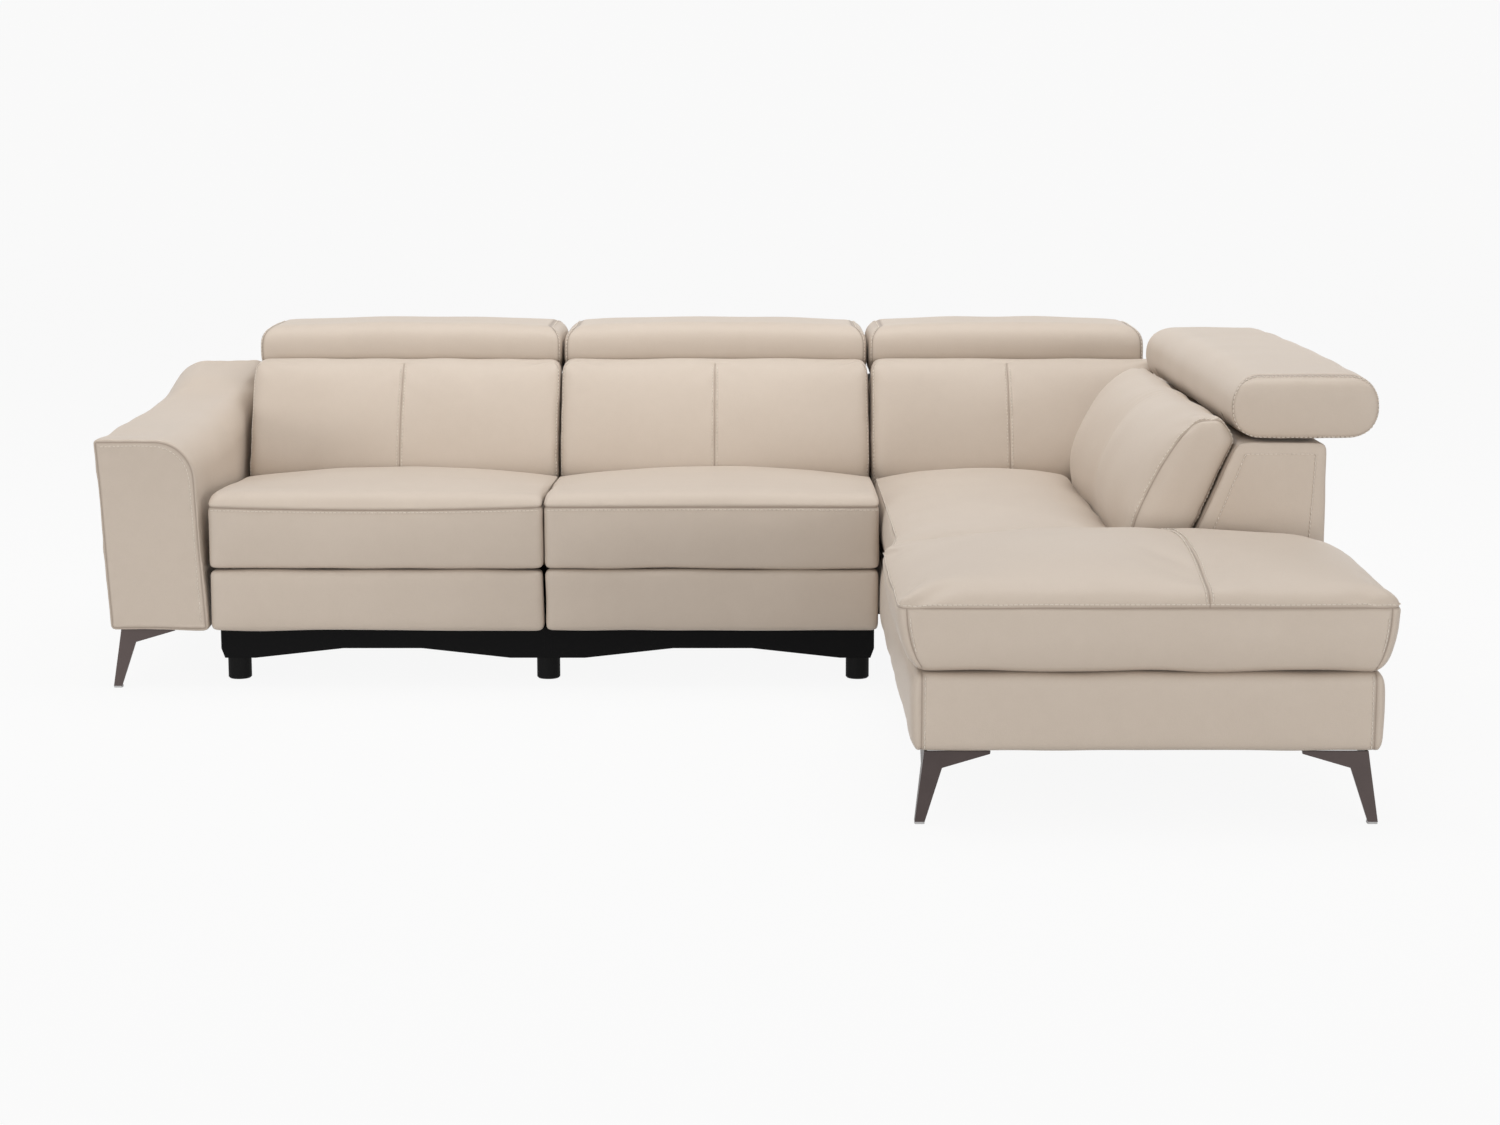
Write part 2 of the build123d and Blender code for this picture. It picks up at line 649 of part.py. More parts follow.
def carriage(side, centre):
    """Pair of steel plates that glide on the base rails, with a cross tube between them."""
    front = LOWER_PIVOT[0] - 25
    foot = BASE_TOP + RUN_CLEARANCE
    outline = (
        (front, foot),
        (CROSS_TUBE[0] + 40, foot),
        (RECLINE_PIVOT[0] + CARRIAGE_LUG, RECLINE_PIVOT[1] - CARRIAGE_LUG),
        (RECLINE_PIVOT[0] + CARRIAGE_LUG, RECLINE_PIVOT[1] + CARRIAGE_LUG),
        (RECLINE_PIVOT[0] - CARRIAGE_LUG, RECLINE_PIVOT[1] + CARRIAGE_LUG),
        (RAIL_REAR + CARRIAGE_LUG, SEAT_DECK - 1),
        (front, SEAT_DECK - 1),
    )
    with BuildPart() as plates:
        for sign in (-1, 1):
            with BuildSketch(side_plane(centre + sign * PLATE_OFFSET)):
                Polygon(*outline, align=None)
                disc(LOWER_PIVOT, TORQUE_TUBE_R + PIN_CLEARANCE, mode=Mode.SUBTRACT)
                disc(RECLINE_PIVOT, RECLINE_PIN_R + PIN_CLEARANCE, mode=Mode.SUBTRACT)
            extrude(amount=sign * PLATE)
        block(
            (centre - HALF_SEAT, centre + HALF_SEAT),
            (RAIL_REAR - RAIL_WIDTH, RAIL_REAR),
            (RAIL_BOTTOM, SEAT_DECK),
            mode=Mode.SUBTRACT,
        )
        with BuildSketch(side_plane(centre - PLATE_OFFSET - PLATE / 2)):
            disc(CROSS_TUBE, CROSS_TUBE_R)
        extrude(amount=2 * PLATE_OFFSET + PLATE)
    finish(plates, f"{side}_carriage")


def lower_links(side, centre):
    """Torque tube with a lower link near each end and a lever in the middle."""
    end = PLATE_OFFSET + PLATE
    knee_length = LINK + LINK_STEP + 1
    with BuildPart() as links:
        with BuildSketch(side_plane(centre - end)):
            disc(LOWER_PIVOT, TORQUE_TUBE_R)
        extrude(amount=2 * end)
        for sign in (-1, 1):
            outer = centre + sign * (LOWER_LINK_OFFSET + LINK / 2)
            with BuildSketch(side_plane(outer)):
                bar(LOWER_PIVOT, KNEE_PIVOT, LINK_WIDTH)
            extrude(amount=-sign * LINK)
            with BuildSketch(side_plane(outer)):
                disc(KNEE_PIVOT, LINK_PIN_R)
            extrude(amount=-sign * knee_length)
            with BuildSketch(side_plane(centre + sign * LEVER_SPREAD / 2)):
                bar(LOWER_PIVOT, LEVER_TIP, LINK_WIDTH)
            extrude(amount=sign * PLATE)
    finish(links, f"{side}_lower_links")


def upper_links(side, centre):
    with BuildPart() as links:
        for sign in (-1, 1):
            with BuildSketch(side_plane(centre + sign * (UPPER_LINK_OFFSET + LINK / 2))):
                bar(KNEE_PIVOT, PAD_PIVOT, LINK_WIDTH)
                for pivot in (KNEE_PIVOT, PAD_PIVOT):
                    disc(pivot, LINK_PIN_R + PIN_CLEARANCE, mode=Mode.SUBTRACT)
            extrude(amount=-sign * LINK)
    finish(links, f"{side}_upper_links")


def footrest_frame(side, centre):
    """Steel backing plate of the footrest, with a lug and pivot pin at each end."""
    rear = FOOTREST_PAD + BOARD
    edge = FOOTREST_BOARD_INSET
    half = HALF_SEAT - 2 * edge
    with BuildPart() as frame:
        block((centre - half, centre + half), (FOOTREST_PAD, rear), (LEG_HEIGHT + edge, FOOTREST_TOP - edge))
        for sign in (-1, 1):
            inner = centre + sign * (LUG_OFFSET - LINK / 2)
            with BuildSketch(side_plane(inner)):
                with Locations(((rear + PAD_PIVOT[0]) / 2, PAD_PIVOT[1])):
                    Rectangle(PAD_PIVOT[0] - rear, 2 * LINK_WIDTH)
                disc(PAD_PIVOT, LINK_WIDTH / 2)
            extrude(amount=sign * LINK)
            with BuildSketch(side_plane(inner)):
                disc(PAD_PIVOT, LINK_PIN_R)
            extrude(amount=sign * (LINK + LINK_STEP + 1))
    finish(frame, f"{side}_footrest_frame")


def footrest_pad(side, centre):
    # Share of the height, and share of the crown taken back from the front there
    stations = ((0, 1), (0.15, 0.25), (0.5, 0), (0.85, 0.25), (1, 1))
    half = HALF_SEAT - 1
    height = FOOTREST_TOP - LEG_HEIGHT
    with BuildPart() as pad:
        for share, back in stations:
            face = FOOTREST_CROWN * (1 + back)
            with BuildSketch(level_plane(LEG_HEIGHT + share * height)):
                with BuildLine():
                    Line((centre - half, FOOTREST_PAD), (centre - half, face))
                    crest = (centre, face - FOOTREST_CROWN)
                    ThreePointArc((centre - half, face), crest, (centre + half, face))
                    Line((centre + half, face), (centre + half, FOOTREST_PAD))
                    Line((centre + half, FOOTREST_PAD), (centre - half, FOOTREST_PAD))
                make_face()
        loft()
    finish(pad, f"{side}_footrest_pad")


def back_hinges(side, centre):
    """Brackets under the shell with the pins on which the back reclines."""
    wide = HINGE_FLANGE
    top = SHELL_BOTTOM
    with BuildPart() as hinges:
        for sign in (-1, 1):
            outer = centre + sign * (PLATE_OFFSET - 2)
            with BuildSketch(side_plane(outer)):
                with Locations((RECLINE_PIVOT[0], (RECLINE_PIVOT[1] + top) / 2)):
                    Rectangle(2 * LINK_WIDTH, top - RECLINE_PIVOT[1])
                disc(RECLINE_PIVOT, LINK_WIDTH)
            extrude(amount=-sign * LINK)
            block(
                sorted((outer, outer - sign * wide)),
                (RECLINE_PIVOT[0] - wide, RECLINE_PIVOT[0] + wide),
                (top - LINK, top),
            )
            with BuildSketch(side_plane(outer)):
                disc(RECLINE_PIVOT, RECLINE_PIN_R)
            extrude(amount=sign * (PLATE + 2))
    finish(hinges, f"{side}_back_hinges")


def motor(side, centre):
    """Motor housing clamped on the cross tube, with the rail that its drive block runs on."""
    low = CROSS_TUBE[1] - MOTOR_HEIGHT / 2
    rail_width, rail_height = MOTOR_RAIL
    with BuildPart() as housing:
        block(
            (centre - MOTOR_WIDTH / 2, centre + MOTOR_WIDTH / 2),
            (MOTOR_FRONT, MOTOR_REAR),
            (low, low + MOTOR_HEIGHT),
        )
        fillet(housing.edges().filter_by(Axis.Y), 8)
        block(
            (centre - rail_width / 2, centre + rail_width / 2),
            (MOTOR_FRONT - MOTOR_RAIL_LENGTH, MOTOR_FRONT),
            (CROSS_TUBE[1] - rail_height / 2, CROSS_TUBE[1] + rail_height / 2),
        )
        block(
            (centre - rail_width / 2, centre + rail_width / 2),
            (MOTOR_REAR, CROSS_TUBE[0]),
            (CROSS_TUBE[1] - CROSS_TUBE_R, CROSS_TUBE[1] + CROSS_TUBE_R),
        )
        with BuildSketch(side_plane(centre - rail_width / 2)):
            disc(CROSS_TUBE, CROSS_TUBE_R + PIN_CLEARANCE)
        extrude(amount=rail_width, mode=Mode.SUBTRACT)
        with BuildSketch(front_plane(MOTOR_FRONT)):
            disc((centre + MOTOR_WIDTH / 2 - 2 * INLET_R, low + 2 * INLET_R), INLET_R)
        extrude(amount=-2 * INLET_R, mode=Mode.SUBTRACT)
    finish(housing, f"{side}_motor")


def drive_block(side, centre):
    """Block that runs on the motor's rail and pushes the torque tube's lever."""
    rail_width, rail_height = MOTOR_RAIL
    half = rail_width / 2 + RUN_CLEARANCE
    low = CROSS_TUBE[1] - rail_height / 2 - RUN_CLEARANCE
    high = CROSS_TUBE[1] + rail_height / 2 + RUN_CLEARANCE
    link = LEVER_SPREAD - 4
    link_root = (BLOCK_FRONT + DRIVE_BLOCK / 2, high + DRIVE_WALL)
    with BuildPart() as drive:
        block(
            (centre - half - DRIVE_WALL, centre + half + DRIVE_WALL),
            (BLOCK_FRONT, BLOCK_FRONT + DRIVE_BLOCK),
            (low - DRIVE_WALL, high + DRIVE_WALL),
        )
        block(
            (centre - half, centre + half),
            (BLOCK_FRONT - 1, BLOCK_FRONT + DRIVE_BLOCK + 1),
            (low, high),
            mode=Mode.SUBTRACT,
        )
        with BuildSketch(side_plane(centre - link / 2)):
            bar(link_root, LEVER_TIP, LINK_WIDTH - 2)
            with Locations((BLOCK_FRONT + DRIVE_BLOCK / 2, CROSS_TUBE[1])):
                Rectangle(DRIVE_BLOCK, high - low, mode=Mode.SUBTRACT)
            disc(LEVER_TIP, LINK_PIN_R, mode=Mode.SUBTRACT)
        extrude(amount=link)
    finish(drive, f"{side}_drive_block")


def switch(side, centre, outward):
    """Switch plate let into the cushion's side, and the rocker that tips on it."""
    plate_length, plate_height, plate_depth = SWITCH_PLATE
    length, height, depth = ROCKER
    plate_face = centre + outward * (HALF_SEAT - SIDE_DRAW)
    lift = ROCKER_PIVOT_R + RUN_CLEARANCE
    with BuildPart() as plate:
        block(
            sorted((plate_face - outward * plate_depth, plate_face)),
            (SWITCH_PLACE[0] - plate_length / 2, SWITCH_PLACE[0] + plate_length / 2),
            (SWITCH_PLACE[1] - plate_height / 2, SWITCH_PLACE[1] + plate_height / 2),
        )
    finish(plate, f"{side}_switch_plate")
    with BuildPart() as rocker:
        with BuildSketch(level_plane(SWITCH_PLACE[1] - height / 2)):
            pivot = (plate_face + outward * lift, SWITCH_PLACE[0])
            wing = plate_face + outward * depth
            root = plate_face + outward * (depth - 1.5)
            Polygon(
                (plate_face + outward * lift, SWITCH_PLACE[0] - 3),
                (root, SWITCH_PLACE[0] - length / 2),
                (wing, SWITCH_PLACE[0] - length / 2),
                (wing, SWITCH_PLACE[0] + length / 2),
                (root, SWITCH_PLACE[0] + length / 2),
                (plate_face + outward * lift, SWITCH_PLACE[0] + 3),
                align=None,
            )
            disc(pivot, ROCKER_PIVOT_R)
        extrude(amount=height)
    finish(rocker, f"{side}_rocker")


# Recliner base, feet, legs and the pieces that hold the sections together


def base_frames():
    """Steel base of each recliner: two rails, bars that deepen near the feet, and a shoe over each foot."""
    outer = BASE_RAIL_OFFSET + BASE_RAIL / 2
    inner = BASE_RAIL_OFFSET - BASE_RAIL / 2
    with BuildPart() as base:
        for side, centre, outward in SEATS:
            for sign in (-1, 1):
                block(
                    sorted((centre + sign * inner, centre + sign * outer)),
                    (BASE_FRONT, BACK_REAR - APRON_BOARD - 2),
                    (BASE_BOTTOM, BASE_TOP),
                )
            for front in (BASE_FRONT, BASE_REAR_BAR):
                with BuildSketch(front_plane(front)):
                    Polygon(
                        (centre - inner, BAR_TOP),
                        (centre - inner, BASE_BOTTOM - BASE_GUSSET),
                        (centre - inner + 2 * FOOT_R, BASE_BOTTOM - BASE_GUSSET),
                        (centre - inner + BASE_GUSSET_RUN, BASE_BOTTOM),
                        (centre + inner - BASE_GUSSET_RUN, BASE_BOTTOM),
                        (centre + inner - 2 * FOOT_R, BASE_BOTTOM - BASE_GUSSET),
                        (centre + inner, BASE_BOTTOM - BASE_GUSSET),
                        (centre + inner, BAR_TOP),
                        align=None,
                    )
                extrude(amount=-BASE_BAR)
                for sign in (-1, 1):
                    slant = BASE_SHOE_SLANT if sign == outward else 0
                    with BuildSketch(front_plane(front)):
                        Polygon(
                            (centre + sign * inner, BASE_BOTTOM),
                            (centre + sign * inner, BASE_BOTTOM - BASE_GUSSET),
                            (centre + sign * (outer - slant), BASE_BOTTOM - BASE_GUSSET),
                            (centre + sign * outer, BASE_BOTTOM),
                            align=None,
                        )
                    extrude(amount=-BASE_BAR)
    finish(base, "recliner_base_frames")


def recliner_feet():
    """Round black feet under the shoes: a pair at each outer rail, and a pair where the bases meet."""
    outer = SEAT_PITCH - FOOT_INSET
    with BuildPart() as feet:
        for x in (-outer, 0, outer):
            for front in (BASE_FRONT, BASE_REAR_BAR):
                with BuildSketch(level_plane(0)):
                    disc((x, front + BASE_BAR / 2), FOOT_R)
                extrude(amount=BASE_BOTTOM - BASE_GUSSET)
        chamfer(feet.edges().filter_by(GeomType.CIRCLE).group_by(Axis.Z)[0], 3)
    finish(feet, "recliner_feet")


def rear_apron():
    rear = BACK_REAR - 2
    half = SEAT_PITCH - MODULE_GAP
    with BuildPart() as apron:
        block((-half, half), (rear - APRON_BOARD, rear), (APRON_BOTTOM, APRON_TOP))
        fillet(apron.edges().filter_by(Axis.X).group_by(Axis.Y)[-1], 4)
    finish(apron, "rear_apron")


def leg_corners():
    """Outer corner of each leg with the way its arms run from there."""
    front = -CHAISE_REACH + LEG_INSET
    rear = BACK_REAR - REAR_LEG_INSET
    return (
        (ARM_FOOT_OUTER + LEG_INSET, LEG_INSET, 1, 1),
        (ARM_FOOT_OUTER + LEG_INSET, rear, 1, -1),
        (CHAISE_LEFT + LEG_INSET, front, 1, 1),
        (CHAISE_RIGHT - LEG_INSET, front, -1, 1),
        (CHAISE_LEFT + LEG_INSET, rear, 1, -1),
        (CHAISE_RIGHT - LEG_INSET, rear, -1, -1),
    )


def blade_legs():
    """Legs of folded sheet: two blades at a right angle that taper to a splayed foot."""
    # Height, length of each blade and share of the splay
    sections = (
        (GLIDE, LEG_FOOT_ARM, 0),
        (LEG_HEIGHT - LEG_ELBOW, LEG_ELBOW_ARM, (LEG_HEIGHT - LEG_ELBOW) / LEG_HEIGHT),
        (LEG_HEIGHT - LEG_FLANGE, LEG_TOP_ARM, 1 - LEG_FLANGE / LEG_HEIGHT),
        (LEG_HEIGHT, LEG_TOP_ARM, 1),
    )
    with BuildPart() as legs:
        for x, y, along, back in leg_corners():
            for z, arm, splay in sections:
                near = LEG_SPLAY * splay
                far = near + arm
                inside = near + LEG_SHEET
                corners = (
                    (near, near),
                    (far, near),
                    (far, inside),
                    (inside, inside),
                    (inside, far),
                    (near, far),
                )
                with BuildSketch(level_plane(z)):
                    Polygon(*[(x + along * a, y + back * b) for a, b in corners], align=None)
            loft(ruled=True)
    finish(legs, "blade_legs")


def leg_glides():
    with BuildPart() as glides:
        for x, y, along, back in leg_corners():
            block(sorted((x, x + along * LEG_FOOT_ARM)), sorted((y, y + back * LEG_FOOT_ARM)), (0, GLIDE))
        fillet(glides.edges().filter_by(Axis.Z), 3)
    finish(glides, "leg_glides")


def section_connectors():
    """Angle brackets from the outer base rails to the arm and the chaise base, and spacers between bases."""
    outer = SEAT_PITCH / 2 + BASE_RAIL_OFFSET + BASE_RAIL / 2
    half_space = SEAT_PITCH - outer - PIN_CLEARANCE
    with BuildPart() as connectors:
        for sign in (-1, 1):
            for place in CONNECTOR_PLACES:
                ys = (place, place + CONNECTOR_WIDTH)
                block(
                    sorted((sign * outer, sign * (outer + CONNECTOR))),
                    ys,
                    (BASE_BOTTOM + CONNECTOR, LEG_HEIGHT - CONNECTOR),
                )
                block(
                    sorted((sign * outer, sign * (CHAISE_LEFT + CONNECTOR_REACH))),
                    ys,
                    (LEG_HEIGHT - CONNECTOR, LEG_HEIGHT),
                )
        for front in (BASE_FRONT, BASE_REAR_BAR):
            zs = (BASE_BOTTOM - BASE_GUSSET, BAR_TOP)
            block((-half_space, half_space), (front, front + BASE_BAR), zs)
    finish(connectors, "section_connectors")


os.makedirs("parts", exist_ok=True)

arm_cover()
arm_frame()
chaise_base()
chaise_frame()
chaise_cushion()
corner_cushion()

# Fixed backs: the return runs the full depth on the right, and the corner back is mitred against it
RETURN_LENGTH = BACK_REAR + CUSHION_JOIN
RETURN_SHIFT = RETURN_OUTER - BACK_REAR - CORNER_LEFT
CORNER_RUN = RETURN_SHIFT + inner_face(BACK_CUSHION_TOP)
CORNER_MITRE = inner_face(BACK_CUSHION_TOP) - inner_face(CHAISE_DECK)
CORNER_HEADREST = RETURN_SHIFT + HEADREST_FRONT + CORNER_HEADREST_LAP
RETURN_HEADREST = RETURN_HEADREST_REAR + CUSHION_JOIN
RETURN_CUSHION = SEAT_DEPTH + CUSHION_JOIN - 2 * MODULE_GAP
along_return = run_from(return_plane, BACK_REAR, -1)
along_corner = run_from(side_plane, CORNER_LEFT)
along_return_headrest = run_from(return_plane, RETURN_HEADREST_REAR, -1)
back_shell("return_back_shell", along_return, RETURN_LENGTH, CHAISE_DECK)
back_shell("corner_back_shell", along_corner, CORNER_RUN, CHAISE_DECK, CORNER_MITRE)
back_frames(
    "fixed_back_frames",
    ((along_return, RETURN_LENGTH), (along_corner, CORNER_RUN - CORNER_MITRE)),
    CHAISE_DECK,
)
along_corner_cushion = run_from(side_plane, CORNER_LEFT + MODULE_GAP / 2)
along_return_cushion = run_from(return_plane, SEAT_DEPTH - MODULE_GAP, -1)
back_cushion("corner_back_cushion", along_corner_cushion, CORNER_RUN, mitred=True)
back_cushion("return_back_cushion", along_return_cushion, RETURN_CUSHION, LOBED_BACK)
headrest("corner", along_corner, CORNER_HEADREST)
headrest("return", along_return_headrest, RETURN_HEADREST)
headrest_brackets(
    "fixed_headrest_brackets",
    ((along_corner, CORNER_HEADREST), (along_return_headrest, RETURN_HEADREST)),
)

for side, centre, outward in SEATS:
    along_seat = run_from(side_plane, centre - HALF_SEAT)
    back_shell(f"{side}_back_shell", along_seat, 2 * HALF_SEAT, SHELL_BOTTOM)
    back_frames(f"{side}_back_frame", ((along_seat, 2 * HALF_SEAT),), SHELL_BOTTOM)
    back_cushion(f"{side}_back_cushion", along_seat, 2 * HALF_SEAT)
    headrest(side, along_seat, 2 * HALF_SEAT)
    headrest_brackets(f"{side}_headrest_brackets", ((along_seat, 2 * HALF_SEAT),))
    seat_cushion(side, centre, outward)
    seat_rails(side, centre)
    seat_springs(side, centre)
    carriage(side, centre)
    lower_links(side, centre)
    upper_links(side, centre)
    footrest_frame(side, centre)
    footrest_pad(side, centre)
    back_hinges(side, centre)
    motor(side, centre)
    drive_block(side, centre)
    switch(side, centre, outward)

base_frames()
recliner_feet()
rear_apron()
blade_legs()
leg_glides()
section_connectors()
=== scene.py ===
import math

import bpy
import numpy as np
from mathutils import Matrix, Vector


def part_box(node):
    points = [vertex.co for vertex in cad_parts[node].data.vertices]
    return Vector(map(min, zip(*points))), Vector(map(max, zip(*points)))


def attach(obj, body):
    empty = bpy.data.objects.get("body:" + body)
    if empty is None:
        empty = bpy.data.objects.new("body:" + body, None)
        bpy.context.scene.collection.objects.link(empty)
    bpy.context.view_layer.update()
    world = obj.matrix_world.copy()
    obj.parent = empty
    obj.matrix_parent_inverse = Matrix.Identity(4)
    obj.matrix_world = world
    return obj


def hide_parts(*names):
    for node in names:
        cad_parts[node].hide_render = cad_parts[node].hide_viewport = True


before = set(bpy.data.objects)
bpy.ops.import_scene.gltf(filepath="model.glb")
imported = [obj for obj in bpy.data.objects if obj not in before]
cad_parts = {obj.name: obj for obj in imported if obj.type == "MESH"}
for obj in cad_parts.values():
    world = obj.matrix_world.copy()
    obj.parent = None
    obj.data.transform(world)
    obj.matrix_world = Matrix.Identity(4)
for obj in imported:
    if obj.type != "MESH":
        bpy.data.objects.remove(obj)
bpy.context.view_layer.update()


# Blade legs and glides: each leg is one sheet of steel folded to a right angle and cut to a splayed
# blade, plated dark bronze and screwed up under the arm or the chaise. Its glide is a pale pad.


class Shade:
    """One socket of a material's node tree, so that shader maths is written as plain expressions."""

    def __init__(self, tree, socket):
        self.tree = tree
        self.socket = socket

    def node(self, kind, settings=None, out=0, **sockets):
        """Adds any node: first its settings, then the value or link of each socket. Gives one output."""
        made = self.tree.nodes.new(kind)
        for key, value in (settings or {}).items():
            setattr(made, key, value)
        feed(self.tree, made, sockets)
        return Shade(self.tree, made.outputs[out])

    def maths(self, operation, first, second):
        return self.node("ShaderNodeMath", {"operation": operation}, i0=first, i1=second)

    def __add__(self, other):
        return self.maths("ADD", self, other)

    def __radd__(self, other):
        return self.maths("ADD", other, self)

    def __mul__(self, other):
        return self.maths("MULTIPLY", self, other)

    def __rmul__(self, other):
        return self.maths("MULTIPLY", other, self)

    def __pow__(self, other):
        return self.maths("POWER", self, other)

    def noise(self, scale, detail=3.0, rough=0.5):
        return self.node("ShaderNodeTexNoise", Vector=self, Scale=scale, Detail=detail, Roughness=rough)

    def blend(self, first, second):
        """Colour that goes from first to second as this value goes from 0 to 1."""
        return self.node("ShaderNodeMix", {"data_type": "RGBA"}, out=2, i0=self, i6=first, i7=second)

    def clamped(self):
        return self.node("ShaderNodeClamp", Value=self)


def feed(tree, node, sockets):
    """Sets or links a node's sockets, each named by its words or by i and its number."""
    for key, value in sockets.items():
        target = node.inputs[int(key[1:]) if key[1:].isdigit() else key.replace("_", " ")]
        if isinstance(value, Shade):
            tree.links.new(value.socket, target)
        else:
            target.default_value = value


def material(name):
    """A new material with its shader and the place on the object that its patterns are read from."""
    made = bpy.data.materials.new(name)
    made.use_nodes = True
    tree = made.node_tree
    place = Shade(tree, tree.nodes.new("ShaderNodeTexCoord").outputs["Object"])
    return made, tree.nodes["Principled BSDF"], place


def finish_with(made, shader, **sockets):
    """Sets or links the shader's sockets and gives the material back."""
    feed(made.node_tree, shader, sockets)
    return made


def bump(height, strength, distance):
    return height.node("ShaderNodeBump", Strength=strength, Distance=distance, Height=height)


def bronze_plate():
    """Dark bronze plating: a satin coat with a faint vertical polish and duller patches."""
    made, shader, place = material("bronze_plate")
    drawn = place.node("ShaderNodeMapping", Vector=place, Scale=(1.0, 1.0, 0.06))
    polish = drawn.noise(900.0, 4.0)
    patches = place.noise(14.0, 4.0)
    colour = patches.blend((0.054, 0.042, 0.040, 1), (0.078, 0.060, 0.058, 1))
    return finish_with(
        made, shader, Base_Color=colour, Metallic=0.75, Roughness=0.30 + 0.10 * patches + 0.08 * polish,
        Normal=bump(polish, 0.08, 0.0003),
    )


def moulded_plastic(name, tone, rough, shine=0.5):
    """Black or grey moulded plastic with a fine spark texture, paler where it is scuffed."""
    made, shader, place = material(name)
    spark = place.noise(1400.0, 2.0)
    scuff = place.noise(22.0, 5.0, 0.65)
    colour = scuff.blend((tone, tone, tone, 1), (tone * 1.7, tone * 1.7, tone * 1.75, 1))
    return finish_with(
        made, shader, Base_Color=colour, Roughness=rough + 0.12 * scuff, Normal=bump(spark, 0.2, 0.0002),
        Specular_IOR_Level=shine,
    )


def clothe(names, made):
    """Gives the CAD pieces named their finish."""
    for name in names:
        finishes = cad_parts[name].data.materials
        finishes.clear()
        finishes.append(made)


clothe(["blade_legs"], bronze_plate())
clothe(["leg_glides"], moulded_plastic("glide_plastic", tone=0.40, rough=0.45))


# Recliner base: a welded steel frame for each seat, powder coated black, on round moulded feet, with
# brackets that bolt it to the arm and to the chaise.


def black_powder_coat():
    """Black powder coat with its orange-peel dimples, a little greyer where it has been rubbed."""
    made, shader, place = material("black_powder_coat")
    peel = place.noise(420.0, 1.5)
    rubbed = place.noise(9.0, 6.0, 0.6)
    colour = rubbed.blend((0.0025, 0.0025, 0.0028, 1), (0.007, 0.007, 0.0075, 1))
    return finish_with(
        made, shader, Base_Color=colour, Roughness=0.5 + 0.2 * rubbed, Normal=bump(peel, 0.25, 0.0004),
        Specular_IOR_Level=0.08,
    )


black_steel = black_powder_coat()
clothe(["recliner_base_frames", "section_connectors"], black_steel)
clothe(["recliner_feet"], moulded_plastic("foot_plastic", tone=0.004, rough=0.6, shine=0.12))


# Timber frames: sawn softwood rails and posts, glued and stapled, inside the arm, the chaise base and
# the backs, and the rail frames that the recliner seats rest on.

SIDES = ("left", "middle")


def sawn_timber():
    """Softwood: year rings as stretched bands with pores, darker in the late wood."""
    made, shader, place = material("sawn_timber")
    stretched = place.node("ShaderNodeMapping", Vector=place, Scale=(9.0, 2.0, 9.0))
    rings = stretched.node(
        "ShaderNodeTexWave", {"wave_type": "RINGS"}, out=1,
        Vector=stretched, Scale=3.0, Distortion=5.0, Detail=3.0,
    )
    pores = place.noise(700.0, 3.0)
    colour = rings.blend((0.56, 0.38, 0.21, 1), (0.40, 0.24, 0.12, 1))
    return finish_with(
        made, shader, Base_Color=colour, Roughness=0.62 + 0.15 * pores, Normal=bump(pores, 0.3, 0.0006),
    )


clothe(
    ["arm_frame", "chaise_frame", "fixed_back_frames"]
    + [f"{side}_{name}" for side in SIDES for name in ("seat_rails", "back_frame")],
    sawn_timber(),
)


# Recliner mechanism: pressed steel plates, links and brackets in black, bright zinc on the springs and
# the headrest rods, and a motor in a moulded case that drives a block along its rail.


def zinc_plate():
    """Zinc-plated steel wire and rod: bright, with a drawn grain and cloudy patches."""
    made, shader, place = material("zinc_plate")
    cloud = place.noise(60.0, 4.0)
    grain = place.noise(1500.0, 2.0)
    colour = cloud.blend((0.50, 0.51, 0.52, 1), (0.62, 0.62, 0.60, 1))
    return finish_with(
        made, shader, Base_Color=colour, Metallic=1.0, Roughness=0.28 + 0.18 * cloud,
        Normal=bump(grain, 0.1, 0.0002),
    )


bright_steel = zinc_plate()
motor_case = moulded_plastic("motor_case", tone=0.02, rough=0.5)
pressed = (
    "carriage", "lower_links", "upper_links", "footrest_frame", "back_hinges", "headrest_brackets",
)
for side in SIDES:
    clothe([f"{side}_{name}" for name in pressed], black_steel)
    clothe([f"{side}_{name}" for name in ("motor", "drive_block")], motor_case)
    clothe([f"{side}_{name}" for name in ("seat_springs", "headrest_rod")], bright_steel)
clothe(["corner_headrest_rod", "return_headrest_rod"], bright_steel)
clothe(["fixed_headrest_brackets"], black_steel)


# Chaise base: leather pulled over foam on a long timber box, with a sewn seam down each front corner.
# It stands on the blade legs and carries the corner seat, the chaise cushion and the fixed backs.

STITCH_GAP = 0.0058  # from a seam to its row of stitches
CLOSE = 0.42  # share of that gap at which one more grid line runs
SEAM_CLEAR = 0.0115  # the even grid lines stay this far from a seam
SEAM_SHADE = 0.0021  # reach of the painted shade beside a seam
FAR = 1.0  # stands for a place with no seam near it


